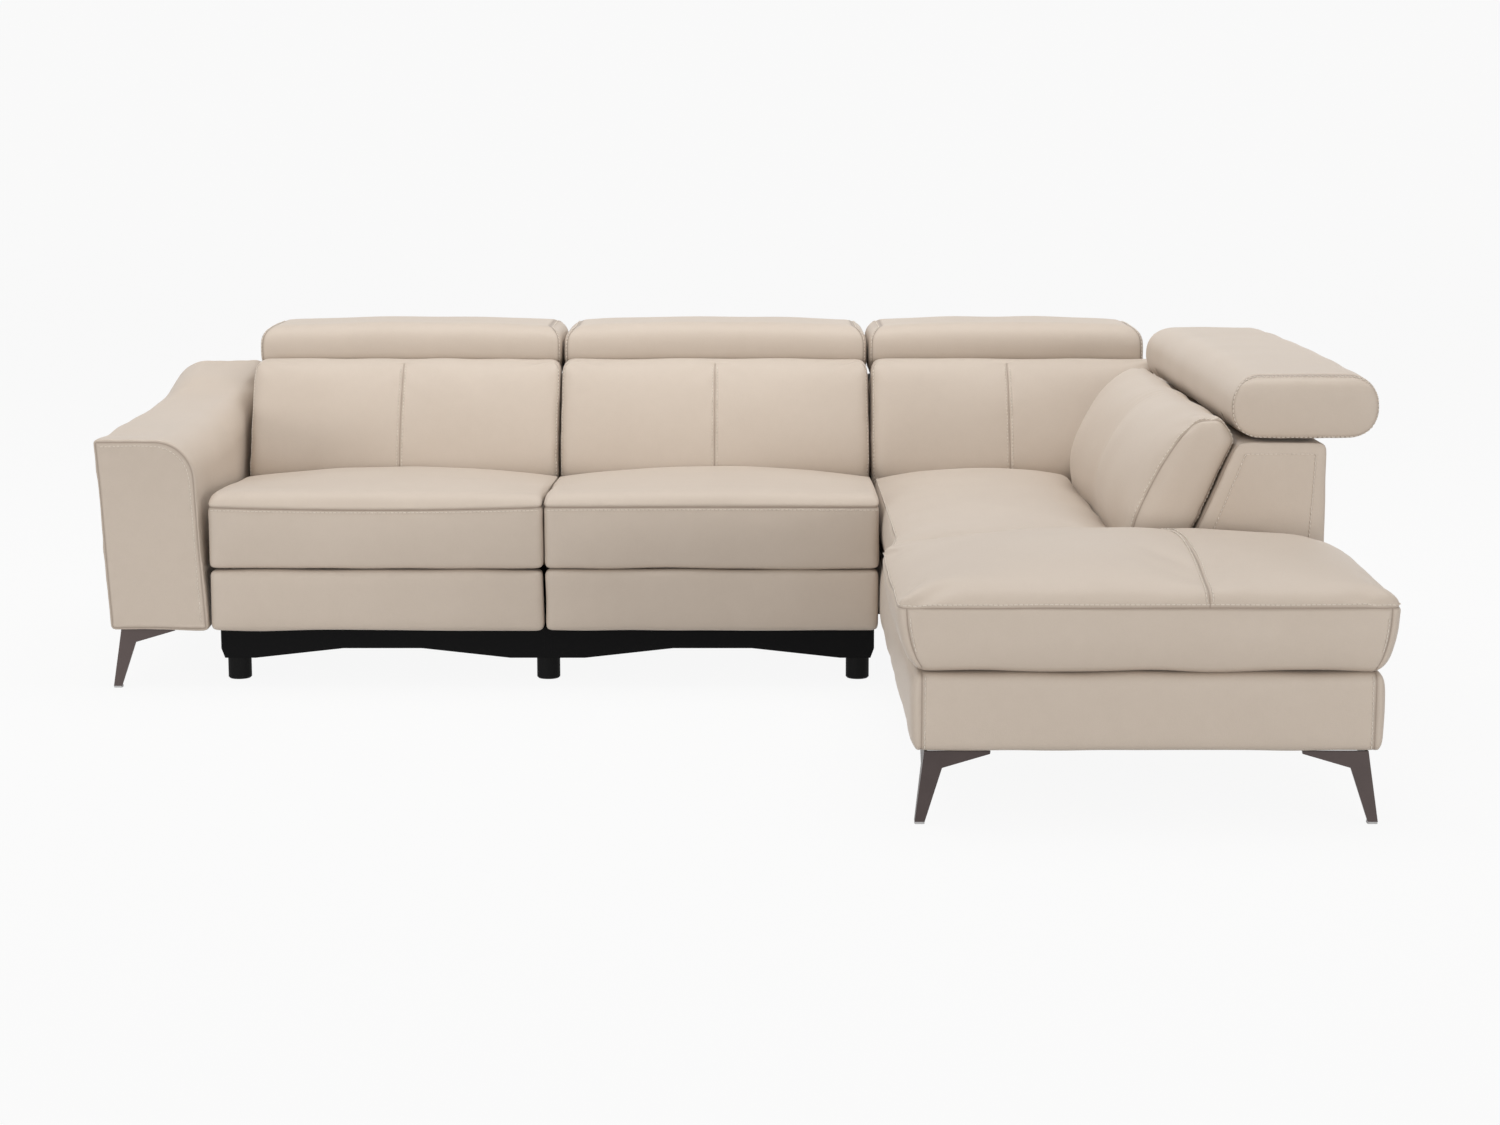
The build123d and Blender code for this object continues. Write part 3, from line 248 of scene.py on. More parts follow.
def greige_leather():
    """Light greige leather: pebbled grain with pores, soft clouding, and painted shade in the sunk grooves
    along its seams.
    """
    made, shader, place = material("greige_leather")
    cells = "ShaderNodeTexVoronoi"
    # The seam attribute carries painted shade: near 1 in the groove along each seam, falling off within a few
    # millimetres.
    seam = place.node("ShaderNodeAttribute", {"attribute_name": "seam"}, out=2)
    pebble = place.node(cells, {"feature": "SMOOTH_F1"}, Vector=place, Scale=520.0, Smoothness=0.6)
    milled = place.node(cells, {"feature": "DISTANCE_TO_EDGE"}, Vector=place, Scale=95.0)
    pores = place.noise(1600.0, 2.0)
    cloud = place.noise(3.2, 4.0, 0.55)
    mottle = place.noise(38.0, 5.0, 0.6)
    tone = (0.62 * cloud + 0.38 * mottle).clamped()
    hide = tone.blend((0.545, 0.463, 0.387, 1), (0.630, 0.546, 0.465, 1))
    # Painted shade: the hide is blended towards dark brown in the seam grooves, and a touch darker with the
    # pebble grain.
    colour = (0.66 * seam + 0.05 * pebble).clamped().blend(hide, (0.20, 0.140, 0.105, 1))
    grain = pebble + 0.35 * pores + 0.5 * milled ** 0.5
    return finish_with(
        made, shader, Base_Color=colour, Roughness=0.40 + 0.10 * mottle + 0.10 * pebble,
        Normal=bump(grain, 0.16, 0.0007), Specular_IOR_Level=0.5, Sheen_Weight=0.10, Sheen_Roughness=0.4,
    )


def sewing_thread():
    """Bonded thread, a shade lighter than the hide, with its twist as a fine slanted bump."""
    made, shader, place = material("sewing_thread")
    twist = place.node(
        "ShaderNodeTexWave", {"bands_direction": "DIAGONAL"}, Vector=place, Scale=700.0, Distortion=1.5,
    )
    cloud = place.noise(30.0)
    colour = cloud.blend((0.74, 0.67, 0.585, 1), (0.82, 0.755, 0.675, 1))
    return finish_with(
        made, shader, Base_Color=colour, Roughness=0.5 + 0.15 * twist, Normal=bump(twist, 0.3, 0.0003),
    )


leather = greige_leather()
thread = sewing_thread()


def corners(name):
    """Low and high corners of a CAD piece."""
    low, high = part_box(name)
    return np.array(low), np.array(high)


def spread(values, low, high):
    """Place between two ends, from -1 at the low end to 1 at the high end."""
    return (values - low) / (high - low) * 2 - 1


def part_way(values, start, end):
    """Share of the way from start to end, kept within 0 and 1."""
    return np.clip((values - start) / (end - start), 0, 1)


def bell(values, width):
    """Bell curve: 1 at 0, and one over e at the width."""
    return np.exp(-((values / width) ** 2))


def gap_to(values, seams):
    """Distance from each value to the nearest of the seams."""
    return np.abs(values[:, None] - np.array(seams)).min(1)


def unit(vectors):
    """Vectors brought to length 1."""
    return vectors / np.linalg.norm(vectors, axis=-1, keepdims=True)


def lengths(path):
    """Length along a path at each of its points."""
    return np.concatenate([[0], np.cumsum(np.linalg.norm(np.diff(path, axis=0), axis=1))])


def ticks(low, high, step, seams=()):
    """Even grid lines from low to high, with five close lines at each seam so that it can be drawn in."""
    even = np.linspace(low, high, int(round((high - low) / step)) + 1)
    for seam in seams:
        even = even[(np.abs(even - seam) > SEAM_CLEAR) | (even <= low) | (even >= high)]
    close = [seam + part * STITCH_GAP for seam in seams for part in (-1, -CLOSE, 0, CLOSE, 1)]
    return np.unique(np.concatenate([even, close]))


def row_at(lines, value):
    """Number of the grid line nearest to a value."""
    return int(np.abs(lines - value).argmin())


def tiles(grid, turned=False):
    """Quads between the neighbouring points of a grid of point numbers."""
    quads = np.stack([grid[:-1, :-1], grid[1:, :-1], grid[1:, 1:], grid[:-1, 1:]], -1).reshape(-1, 4)
    return quads[:, ::-1] if turned else quads


def block_skin(low, high, steps, seams=((), (), ())):
    """Skin of a block: the points of an x, y, z grid that lie on its six sides, the quads between them, the
    points' numbers in the grid, and the grid's lines along each axis."""
    lines = [ticks(*axis) for axis in zip(low, high, steps, seams)]
    skin = np.ones([len(line) for line in lines], bool)
    skin[1:-1, 1:-1, 1:-1] = False
    ids = np.full(skin.shape, -1)
    ids[skin] = np.arange(skin.sum())
    points = np.stack(np.meshgrid(*lines, indexing="ij"), -1)[skin]
    sides = (
        tiles(ids[0], True), tiles(ids[-1]), tiles(ids[:, 0]),
        tiles(ids[:, -1], True), tiles(ids[:, :, 0], True), tiles(ids[:, :, -1]),
    )
    return points, np.concatenate(sides), ids, lines


def rounded(points, low, high, radius):
    """Rounded block: a point becomes its nearest spot on a block smaller by the radius, plus the radius."""
    radius = np.broadcast_to(np.asarray(radius, float), (3,))
    core = np.clip(points, np.asarray(low) + radius, np.asarray(high) - radius)
    return core + radius * unit((points - core) / radius)


def normals(points, quads):
    """Outward direction at each point: the sum of the crossed diagonals of the quads that meet there."""
    first, second, third, fourth = (points[quads[:, k]] for k in range(4))
    total = np.zeros_like(points)
    np.add.at(total, quads.ravel(), np.repeat(np.cross(third - first, fourth - second), 4, axis=0))
    return total / np.maximum(np.linalg.norm(total, axis=1, keepdims=True), 1e-12)


def unevenness(points, wave, seed):
    """Smooth seeded unevenness: the mean of fourteen sines that run in random directions."""
    count = 14
    chance = np.random.default_rng(seed)
    ways = unit(chance.normal(size=(count, 3)))
    ways *= 2 * math.pi / wave * chance.uniform(0.6, 1.5, (count, 1))
    return np.sin(points @ ways.T + chance.uniform(0, 2 * math.pi, count)).sum(1) / math.sqrt(count / 2)


def sewn(points, quads, seam, seed, sink=0.004, dents=0.0012, puckers=0.0009):
    """Leather as sewn: sunk along its seams in a bell curve of the distance, puckered beside them and
    gently uneven all over."""
    groove, pucker_start, pucker_reach = 0.0032, 0.006, 0.02
    pucker_wave, dent_wave = 0.034, 0.21
    beside = np.exp(-seam / pucker_reach) * (1 - bell(seam, pucker_start))
    rise = puckers * unevenness(points, pucker_wave, seed) * beside - sink * bell(seam, groove)
    rise += dents * unevenness(points, dent_wave, seed + 1)
    return points + normals(points, quads) * rise[:, None]


def add_mesh(name, points, quads, made):
    mesh = bpy.data.meshes.new(name)
    mesh.from_pydata(points.tolist(), [], quads.tolist())
    mesh.polygons.foreach_set("use_smooth", np.ones(len(mesh.polygons), bool))
    mesh.materials.append(made)
    piece = bpy.data.objects.new(name, mesh)
    bpy.context.scene.collection.objects.link(piece)
    return piece


def padded_piece(name, points, quads, seam, body, solid):
    """A leather piece with its seam shading, which rides on a body and stands for its CAD solid."""
    piece = add_mesh(name, points, quads, leather)
    # The seam attribute holds the painted shade for the hide's colour, strongest in each seam's groove.
    near = piece.data.attributes.new("seam", "FLOAT", "POINT")
    near.data.foreach_set("value", bell(seam, SEAM_SHADE).astype(np.float32))
    smooth = piece.modifiers.new("smooth", "SUBSURF")
    smooth.levels = 1
    smooth.render_levels = 1
    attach(piece, body)
    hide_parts(solid)
    return piece


def stitched(name, points, quads, rows, body):
    """Stitches along rows of point numbers of a finished piece: one short square bar of thread per pitch,
    humped in its middle, upright on the surface."""
    pitch, length, radius = 0.0090, 0.0068, 0.0010
    hump = np.array([-0.2, 0.75, -0.2]) * radius
    ring = np.array([(1, 1), (-1, 1), (-1, -1), (1, -1)]) * math.sqrt(0.5)
    near = np.arange(4)
    turn = (near + 1) % 4
    walls = [np.stack([k + near, k + turn, k + 4 + turn, k + 4 + near], -1) for k in (0, 4)]
    bar = np.concatenate(walls + [np.array([[3, 2, 1, 0], [8, 9, 10, 11]])])
    up = normals(points, quads)
    verts, faces, count = [], [], 0
    for row in rows:
        run = lengths(points[row])
        starts = np.arange(pitch / 2, run[-1] - length, pitch)
        places = starts[:, None] + np.array([0, 0.5, 1]) * length
        at, lift = (
            np.stack([np.interp(places, run, values[row, k]) for k in range(3)], -1)
            for values in (points, up)
        )
        lift = unit(lift)
        side = np.cross(unit(at[:, 2:] - at[:, :1]), lift)
        at = at + lift * hump[:, None]
        square = ring[:, :1] * side[:, :, None] + ring[:, 1:] * lift[:, :, None]
        verts.append((at[:, :, None] + radius * square).reshape(-1, 3))
        faces.append((bar + 12 * np.arange(len(starts))[:, None, None] + count).reshape(-1, 4))
        count += 12 * len(starts)
    piece = add_mesh(name, np.concatenate(verts), np.concatenate(faces), thread)
    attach(piece, body)


low, high = corners("chaise_base")
corner_in, base_swell, side_share = 0.013, 0.005, 1.5
corner_seams = (low[0] + corner_in, high[0] - corner_in)
corner_stitches = (corner_seams[0] + STITCH_GAP, corner_seams[1] - STITCH_GAP)
flat, quads, ids, lines = block_skin(low, high, (0.026, 0.034, 0.014), (corner_seams, (), ()))
across = spread(flat[:, 0], low[0], high[0])
front = flat[:, 1] <= low[1]
seam = np.where(front, gap_to(flat[:, 0], corner_seams), FAR)
points = rounded(flat, low, high, radius=(0.010, 0.010, 0.008))
swell = base_swell * (1 - spread(flat[:, 2], low[2], high[2]) ** 4)
points[:, 1] -= np.where(front, swell * (1 - across ** 6), 0)
points[:, 0] += np.where(np.abs(across) >= 1, side_share * swell * across, 0)
points = sewn(points, quads, seam, seed=11, sink=0.0025, dents=0.0008)
padded_piece("chaise_base_leather", points, quads, seam, "base", "chaise_base")
corner_rows = [ids[row_at(lines[0], x), 0] for x in corner_stitches]
stitched("chaise_base_stitching", points, quads, corner_rows, "base")


# Arm: foam over a timber frame. Its top is level at the front and sweeps up to the back, and its inner
# edge rolls over in a large round. A flat panel closes the front, sewn in along its edge.


def flowing(at, knots, values):
    """Smooth curve through knots: a cubic between neighbours that shares its slope at each knot."""
    knots, values = np.asarray(knots, float), np.asarray(values, float)
    slopes = np.gradient(values, knots)
    k = np.clip(np.searchsorted(knots, at, side="right") - 1, 0, len(knots) - 2)
    step = knots[k + 1] - knots[k]
    s = (at - knots[k]) / step
    return (
        (2 * s ** 3 - 3 * s ** 2 + 1) * values[k] + (s ** 3 - 2 * s ** 2 + s) * step * slopes[k]
        + (3 * s ** 2 - 2 * s ** 3) * values[k + 1] + (s ** 3 - s ** 2) * step * slopes[k + 1]
    )


def between(first, last, share):
    """Goes straight from first to last as the share goes from 0 to 1."""
    return first + (last - first) * share


def straight(start, end, count):
    """Points from start towards end, without the end itself."""
    return between(start[..., None, :], end[..., None, :], (np.arange(count) / count)[:, None])


def quarter(centre, radius, start, end, count):
    """Points along part of a circle, without its end."""
    angle = between(start, end, np.arange(count) / count)
    return centre[..., None, :] + radius[..., None, None] * np.stack([np.cos(angle), np.sin(angle)], -1)


def xz(x, z):
    return np.stack(np.broadcast_arrays(x, z), -1)


# Points along each stretch of the arm's outline, which runs from the inner foot outwards and over the top.
FOOT_COUNT, SIDE_COUNT, OUTER_COUNT, TOP_COUNT, INNER_COUNT = 12, 30, 12, 12, 16
low, high = corners("arm_cover")
foot_in, top_in, inner_in = 0.025, 0.018, 0.001
front_height, sweep, arm_swell = 0.419, 0.096, 0.005
sweep_knots = (0, 0.3, 0.55, 0.72, 0.87, 1)
share = np.concatenate([[0.0], np.linspace(0.008, 0.992, 64), [1.0]])
rise = flowing(share, sweep_knots, (0, 0.03, 0.13, 0.33, 0.74, 0.98))
turn = np.clip(flowing(share, sweep_knots, (0, 0.05, 0.25, 0.60, 0.95, 1)), 0, 1)
top = low[2] + front_height + sweep * rise
outer_r = between(0.007, 0.086, turn)
inner_r = between(0.088, 0.036, turn)
inner = high[0] - inner_in
inner_top = inner - top_in * (1 - turn)
inner_foot, outer_foot = (xz(x, np.full_like(top, low[2])) for x in (inner, low[0] + foot_in))
rings = np.concatenate([
    straight(inner_foot, outer_foot, FOOT_COUNT),
    straight(outer_foot, xz(low[0], top - outer_r), SIDE_COUNT),
    quarter(xz(low[0] + outer_r, top - outer_r), outer_r, math.pi, math.pi / 2, OUTER_COUNT),
    straight(xz(low[0] + outer_r, top), xz(inner_top - inner_r, top), TOP_COUNT),
    quarter(xz(inner_top - inner_r, top - inner_r), inner_r, math.pi / 2, 0, INNER_COUNT),
    straight(xz(inner_top, top - inner_r), inner_foot, SIDE_COUNT),
], axis=1)
around = rings.shape[1]
number = np.arange(around)


def inset(ring, amount):
    """A ring drawn in: each point moves square to the ring, by the amount."""
    along = np.roll(ring, -1, axis=0) - np.roll(ring, 1, axis=0)
    return ring + unit(np.stack([along[:, 1], -along[:, 0]], -1)) * amount


def end_rings(ring, y, way):
    """Rings that close an end: over a small rounded edge, then in to an upright line at the middle of the
    panel. The two sides of the ring share the line's points, counted up from the middle of its foot."""
    radius, line_in = 0.006, 0.09
    turned = np.linspace(0, math.pi / 2, 5)
    over = [(radius * (1 - math.cos(angle)), radius * math.sin(angle)) for angle in turned]
    made = [np.insert(inset(ring, inwards), 1, y - way * (radius - out), axis=1) for inwards, out in over]
    edge = inset(ring, radius)
    from_foot = number - FOOT_COUNT // 2
    pair = np.minimum(from_foot % around, -from_foot % around)
    foot, head = edge[:, 1].min() + line_in, edge[:, 1].max() - line_in
    middle = xz(edge[:, 0].mean(), between(foot, head, pair / pair.max()))
    steps = [0.03, 0.06, 0.12, *np.linspace(0.2, 1, 9)]
    return made + [np.insert(between(edge, middle, step), 1, y, axis=1) for step in steps]


depths = np.repeat(between(low[1], high[1], share)[:, None], around, 1)
body_rings = np.stack([rings[..., 0], depths, rings[..., 1]], -1)
start = end_rings(rings[0], low[1], -1)[::-1]
stop = end_rings(rings[-1], high[1], 1)
grid = np.stack(start + list(body_rings[1:-1]) + stop)
ids = np.arange(len(grid) * around).reshape(-1, around)
ids[[0, -1]] = ids[[0, -1]][:, np.minimum(number, (FOOT_COUNT - number) % around)]
used, quads = np.unique(tiles(np.concatenate([ids, ids[:, :1]], 1), True), return_inverse=True)
quads = quads.reshape(-1, 4)
points = grid.reshape(-1, 3)[used]
ring_of = used // around
seam_step, stitch_step = 3, 3
front_edge = len(start) - 1 - seam_step
rear_edge = len(start) + len(body_rings) - 2 + seam_step
run = lengths(grid[:, FOOT_COUNT + SIDE_COUNT + OUTER_COUNT + TOP_COUNT // 2])
seam = gap_to(run, run[[front_edge, rear_edge]])[ring_of]
depth = part_way(points[:, 1], low[1], high[1])
height = part_way(points[:, 2], low[2], high[2])
fold_deep, fold_wide, fold_high, fold_slope, fold_reach = 0.0045, 0.011, 0.470, 0.10, 0.16
fold_level_at, fold_middle, fold_length = 0.85, 0.88, 0.10
fold_line = low[2] + fold_high + fold_slope * (depth - fold_level_at)
fold = fold_deep * bell(points[:, 2] - fold_line, fold_wide) * bell(depth - fold_middle, fold_length)
fold *= points[:, 0] > inner - fold_reach
points = points - normals(points, quads) * fold[:, None]
swell = arm_swell * np.sin(np.pi * height) * np.sin(np.pi * depth) ** 0.5
points = points + normals(points, quads) * swell[:, None]
dents = np.where(ring_of < front_edge - 1, 0.0, 0.0012)
points = sewn(points, quads, seam, seed=23, sink=0.0028, dents=dents)
padded_piece("arm_leather", points, quads, seam, "base", "arm_cover")
panel_row = np.searchsorted(used, ids[front_edge - stitch_step])
stitched("arm_stitching", points, quads, [panel_row[FOOT_COUNT + SIDE_COUNT:]], "base")


# Recliner seat cushions: moulded foam under leather. The top panel is domed and rolls over the front to
# a seam, and below that seam a front border runs down to just above the footrest.

HELD = 0.001  # a cover is held where a seam is nearer than this
SEAT_SEAM = 0.402  # height of the seam along the front
SEAT_DECK = 0.3055  # height of the underside behind the border


def plumped(points, quads, held, pressure, cap):
    """Cover blown up as cloth for twenty frames, held along its seams; no point moves beyond the cap."""
    frames = 20
    scene = bpy.context.scene
    cover = add_mesh("cover", points, quads, leather)
    cover.vertex_groups.new(name="held").add(np.flatnonzero(held).tolist(), 1.0, "REPLACE")
    cloth = cover.modifiers.new("cloth", "CLOTH")
    settings = cloth.settings
    settings.quality = 4
    settings.mass = 0.3
    settings.tension_stiffness = 25
    settings.compression_stiffness = 25
    settings.shear_stiffness = 12
    settings.bending_stiffness = 1.5
    settings.use_pressure = True
    settings.uniform_pressure_force = pressure
    settings.vertex_group_mass = "held"
    settings.effector_weights.gravity = 0
    cloth.collision_settings.use_collision = False
    cloth.point_cache.frame_start = 1
    cloth.point_cache.frame_end = frames
    for step in range(1, frames + 1):
        scene.frame_set(step)
    blown = cover.evaluated_get(bpy.context.evaluated_depsgraph_get()).data
    places = np.empty(len(points) * 3)
    blown.vertices.foreach_get("co", places)
    scene.frame_set(1)
    bpy.data.objects.remove(cover)
    move = places.reshape(-1, 3) - points
    far = np.maximum(np.linalg.norm(move, axis=1, keepdims=True), 1e-9)
    return points + move * (cap * np.tanh(far / cap) / far)


seat_out, seat_drop, seat_slack, seat_roll = 0.0018, 0.0012, 0.0004, 0.014
border_deep, border_step, border_swell, sag_reach = 0.056, 0.006, 0.007, 0.04
top = SEAT_SEAM + seat_roll
seat_knots = (0, 0.045, 0.12, 0.23, 0.47, 0.85, 1)
for side, sag in zip(SIDES, (0.006, -0.001)):
    low, high = corners(f"{side}_seat_cushion")
    low -= (seat_out, 0, seat_drop)
    high[0] += seat_out
    high[2] = top
    flat, quads, ids, lines = block_skin(low, high, (0.0125, 0.0125, 0.0105), ((), (), (SEAT_SEAM,)))
    across = spread(flat[:, 0], low[0], high[0])
    back = part_way(flat[:, 1], low[1], high[1])
    front = flat[:, 1] <= low[1]
    points = rounded(flat, low, high, radius=(0.012, 0.012, 0.011))
    above = part_way(points[:, 2], SEAT_SEAM, top)
    side_rise = flowing(back, seat_knots, (-0.003, 0.010, 0.013, 0.012, 0.004, -0.009, -0.014))
    crown = flowing(back, seat_knots, (0, 0.004, 0.009, 0.014, 0.022, 0.026, 0.026))
    points[:, 2] += above * (side_rise + crown * (1 - across ** 2))
    under = part_way(flat[:, 2], SEAT_SEAM, low[2])
    belly = border_swell * np.sin(np.pi * np.clip(under * 1.02, 0, 1)) ** 0.8
    points[:, 1] -= np.where(front, belly * (1 - across ** 8), 0)
    points[:, 2] -= sag * (1 - across ** 2) * (1 - under) ** 1.5 * np.exp(-back / sag_reach)
    border_rear = low[1] + border_deep
    behind = part_way(points[:, 1], border_rear, border_rear + border_step)
    points[:, 2] += behind * under * (SEAT_DECK - low[2])
    seam = np.where(flat[:, 2] >= top, FAR, np.abs(flat[:, 2] - SEAT_SEAM))
    hidden = (flat[:, 1] >= high[1]) | (flat[:, 2] <= low[2])
    points = plumped(points, quads, (seam < HELD) | hidden, pressure=3.0, cap=0.007)
    points = sewn(points, quads, seam, seed=31 + len(side), dents=0.0009)
    points[:, 0] = np.clip(points[:, 0], low[0] - seat_slack, high[0] + seat_slack)
    body = f"{side}_seat"
    padded_piece(f"{side}_seat_leather", points, quads, seam, body, f"{side}_seat_cushion")
    stitches = row_at(lines[2], SEAT_SEAM - STITCH_GAP)
    stitched(f"{side}_seat_stitching", points, quads, [ids[:, 0, stitches]], body)


# Footrest pads: a board with thin foam and leather under each seat's front border, which swings out and
# up on the steel links. Its edges are rolled over to the back.

pad_out, pad_drop, pad_rise, pad_swell = 0.0015, 0.003, 0.0008, 0.005
for side in SIDES:
    low, high = corners(f"{side}_footrest_pad")
    low -= (pad_out, 0, pad_drop)
    high += (pad_out, 0, pad_rise)
    flat, quads = block_skin(low, high, (0.0125, 0.0095, 0.0105))[:2]
    across = spread(flat[:, 0], low[0], high[0])
    tall = spread(flat[:, 2], low[2], high[2])
    points = rounded(flat, low, high, radius=(0.011, 0.010, 0.010))
    swell = pad_swell * (1 - tall ** 4) * (1 - across ** 10)
    points[:, 1] -= np.where(flat[:, 1] <= low[1], swell, 0)
    seam = np.full(len(points), FAR)
    points = sewn(points, quads, seam, seed=41 + len(side), dents=0.0009)
    body, solid = f"{side}_footrest", f"{side}_footrest_pad"
    padded_piece(f"{side}_footrest_leather", points, quads, seam, body, solid)


# Corner seat and chaise cushions: deep foam under leather on the chaise base. The chaise cushion's sides
# flare out to its edge seam, and a twin-stitched seam runs from front to rear over its dome.

CHAISE_SEAM = 0.394
CORNER_SEAM = 0.400
low, high = corners("chaise_cushion")
base_low, base_high = corners("chaise_base")
chaise_roll, split_in, chaise_dome, right_rise, front_swell = 0.024, 0.522, 0.050, 0.009, 0.009
top = CHAISE_SEAM + chaise_roll
split = base_low[0] + split_in
box_low, box_high = (base_low[0], low[1], low[2]), (base_high[0], high[1], top)
box_seams = ((corner_seams[0], split, corner_seams[1]), (), (CHAISE_SEAM,))
flat, quads, ids, lines = block_skin(box_low, box_high, (0.0135, 0.0135, 0.012), box_seams)
across = spread(flat[:, 0], base_low[0], base_high[0])
back = part_way(flat[:, 1], low[1], high[1])
points = rounded(flat, box_low, box_high, radius=(0.024, 0.022, 0.026))
tall = part_way(points[:, 2], low[2], CHAISE_SEAM)
flare = (1 - (1 - tall) ** 2.2) * (1 - 0.12 * np.clip(back - 0.6, 0, 1))
wide = np.where(across < 0, base_low[0] - low[0], high[0] - base_high[0])
points[:, 0] += across * np.abs(across) ** 3 * wide * flare
above = part_way(points[:, 2], CHAISE_SEAM, top)
dome = flowing(back, (0, 0.1, 0.25, 0.5, 0.8, 1), (0.02, 0.30, 0.72, 1.0, 0.84, 0.56))
crown = chaise_dome * (1 - np.abs(across) ** 2.6) + right_rise * np.clip(across, 0, 1) ** 2
points[:, 2] += above * dome * crown
front = flat[:, 1] <= low[1]
points[:, 1] -= np.where(front, front_swell * np.sin(np.pi * tall) * (1 - across ** 8), 0)
lower, upper = flat[:, 2] < CHAISE_SEAM, flat[:, 2] >= top
rim = np.where(upper, FAR, np.abs(flat[:, 2] - CHAISE_SEAM))
twin = np.where(upper | (front & ~lower), 1.3 * np.abs(flat[:, 0] - split), FAR)
ends = np.where(front & lower, 1.4 * gap_to(flat[:, 0], corner_seams), FAR)
seam = np.minimum(np.minimum(rim, twin), ends)
hidden = (flat[:, 1] >= high[1]) | (flat[:, 2] <= low[2])
points = plumped(points, quads, (seam < HELD) | hidden, pressure=3.0, cap=0.014)
points = sewn(points, quads, seam, seed=53)
points[:, 1] = np.minimum(points[:, 1], high[1])
padded_piece("chaise_leather", points, quads, seam, "base", "chaise_cushion")
k = row_at(lines[2], CHAISE_SEAM + STITCH_GAP)
rows = [ids[:, 0, k], ids[0, :, k], ids[-1, :, k]]
rows += [ids[row_at(lines[0], x), 0, 3:k - 4] for x in corner_stitches]
for gap in (-STITCH_GAP, STITCH_GAP):
    i = row_at(lines[0], split + gap)
    rows.append(np.concatenate([ids[i, 0, k:-1], ids[i, :, -1]]))
stitched("chaise_stitching", points, quads, rows, "base")

low, high = corners("corner_seat_cushion")
left_in, right_out, corner_roll, corner_crown = 0.001, 0.010, 0.016, 0.021
left_fall, right_fall, front_flare, flare_reach = 0.018, 0.007, 0.024, 0.16
low[0] = base_low[0] + left_in
high[0] += right_out
top = high[2] = CORNER_SEAM + corner_roll
flat, quads, ids, lines = block_skin(low, high, (0.0135, 0.0165, 0.012), ((), (), (CORNER_SEAM,)))
across = spread(flat[:, 0], low[0], high[0])
back = part_way(flat[:, 1], low[1], high[1])
points = rounded(flat, low, high, radius=(0.028, 0.028, 0.026))
above = part_way(points[:, 2], CORNER_SEAM, top)
crown = corner_crown * flowing(back, (0, 0.15, 0.5, 0.85, 1), (0.6, 0.9, 1, 0.8, 0.4))
fall = np.where(across < 0, left_fall, right_fall) * back * across ** 2
points[:, 2] += above * (crown * (1 - np.abs(across) ** 2.6) - fall)
tall = part_way(points[:, 2], low[2], CORNER_SEAM)
flare = front_flare * np.clip(1 - back / flare_reach, 0, 1) ** 1.5 * (1 - (1 - tall) ** 2)
points[:, 0] -= np.where(across < 0, flare * np.abs(across) ** 3, 0)
seam = np.where(flat[:, 2] >= top, FAR, np.abs(flat[:, 2] - CORNER_SEAM))
middle, half = (low[1] + high[1]) / 2, (high[1] - low[1]) / 2
hidden = (np.abs(flat[:, 1] - middle) >= half) | (flat[:, 2] <= low[2])
points = plumped(points, quads, (seam < HELD) | hidden, pressure=3.0, cap=0.010)
points = sewn(points, quads, seam, seed=59)
padded_piece("corner_seat_leather", points, quads, seam, "base", "corner_seat_cushion")
corner_row = ids[0, :, row_at(lines[2], CORNER_SEAM + STITCH_GAP)]
stitched("corner_seat_stitching", points, quads, [corner_row], "base")


# Back shells: a raked box of board and thin foam behind each back cushion, covered in leather and sewn
# at its edges. The recliner shells have a panel down the rear, and the return's end panel faces front.

RAKE = math.tan(math.radians(24.35))
SHELL_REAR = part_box("left_back_shell")[1][1]
SHELL_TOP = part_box("left_back_shell")[1][2]
SHELL_DEPTH = 0.256
SHELL_DEPTH_LEVEL = 0.437
SHELL_THICK = 0.3
BACK_FOOT = 0.330
RETURN_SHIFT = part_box("return_back_shell")[1][0] - SHELL_REAR


def inner_face(z):
    """Place of a shell's raked inner face at a height."""
    return SHELL_REAR - SHELL_DEPTH + (z - SHELL_DEPTH_LEVEL) * RAKE


def shell_skin(start, end, bottom, step=0.03, seams=()):
    """Shell along a run: a rounded block in run, share of thickness and height, leaned to the raked face."""
    flat, quads, ids = block_skin(
        (start, 0, bottom), (end, 1, SHELL_TOP), (step, 0.125, 0.022), (seams, (), ()),
    )[:3]
    scale = (1, SHELL_THICK, 1)
    box_high = (end, SHELL_THICK, SHELL_TOP)
    soft = rounded(flat * scale, (start, 0, bottom), box_high, radius=(0.004, 0.009, 0.009)) / scale
    places = between(inner_face(soft[:, 2]), SHELL_REAR, soft[:, 1])
    return np.stack([soft[:, 0], places, soft[:, 2]], -1), quads, ids, flat


def to_return(points):
    """Turns a back along the rear into one along the return: its run goes forward, its depth to the right."""
    return np.stack([points[:, 1] + RETURN_SHIFT, -points[:, 0], points[:, 2]], -1)


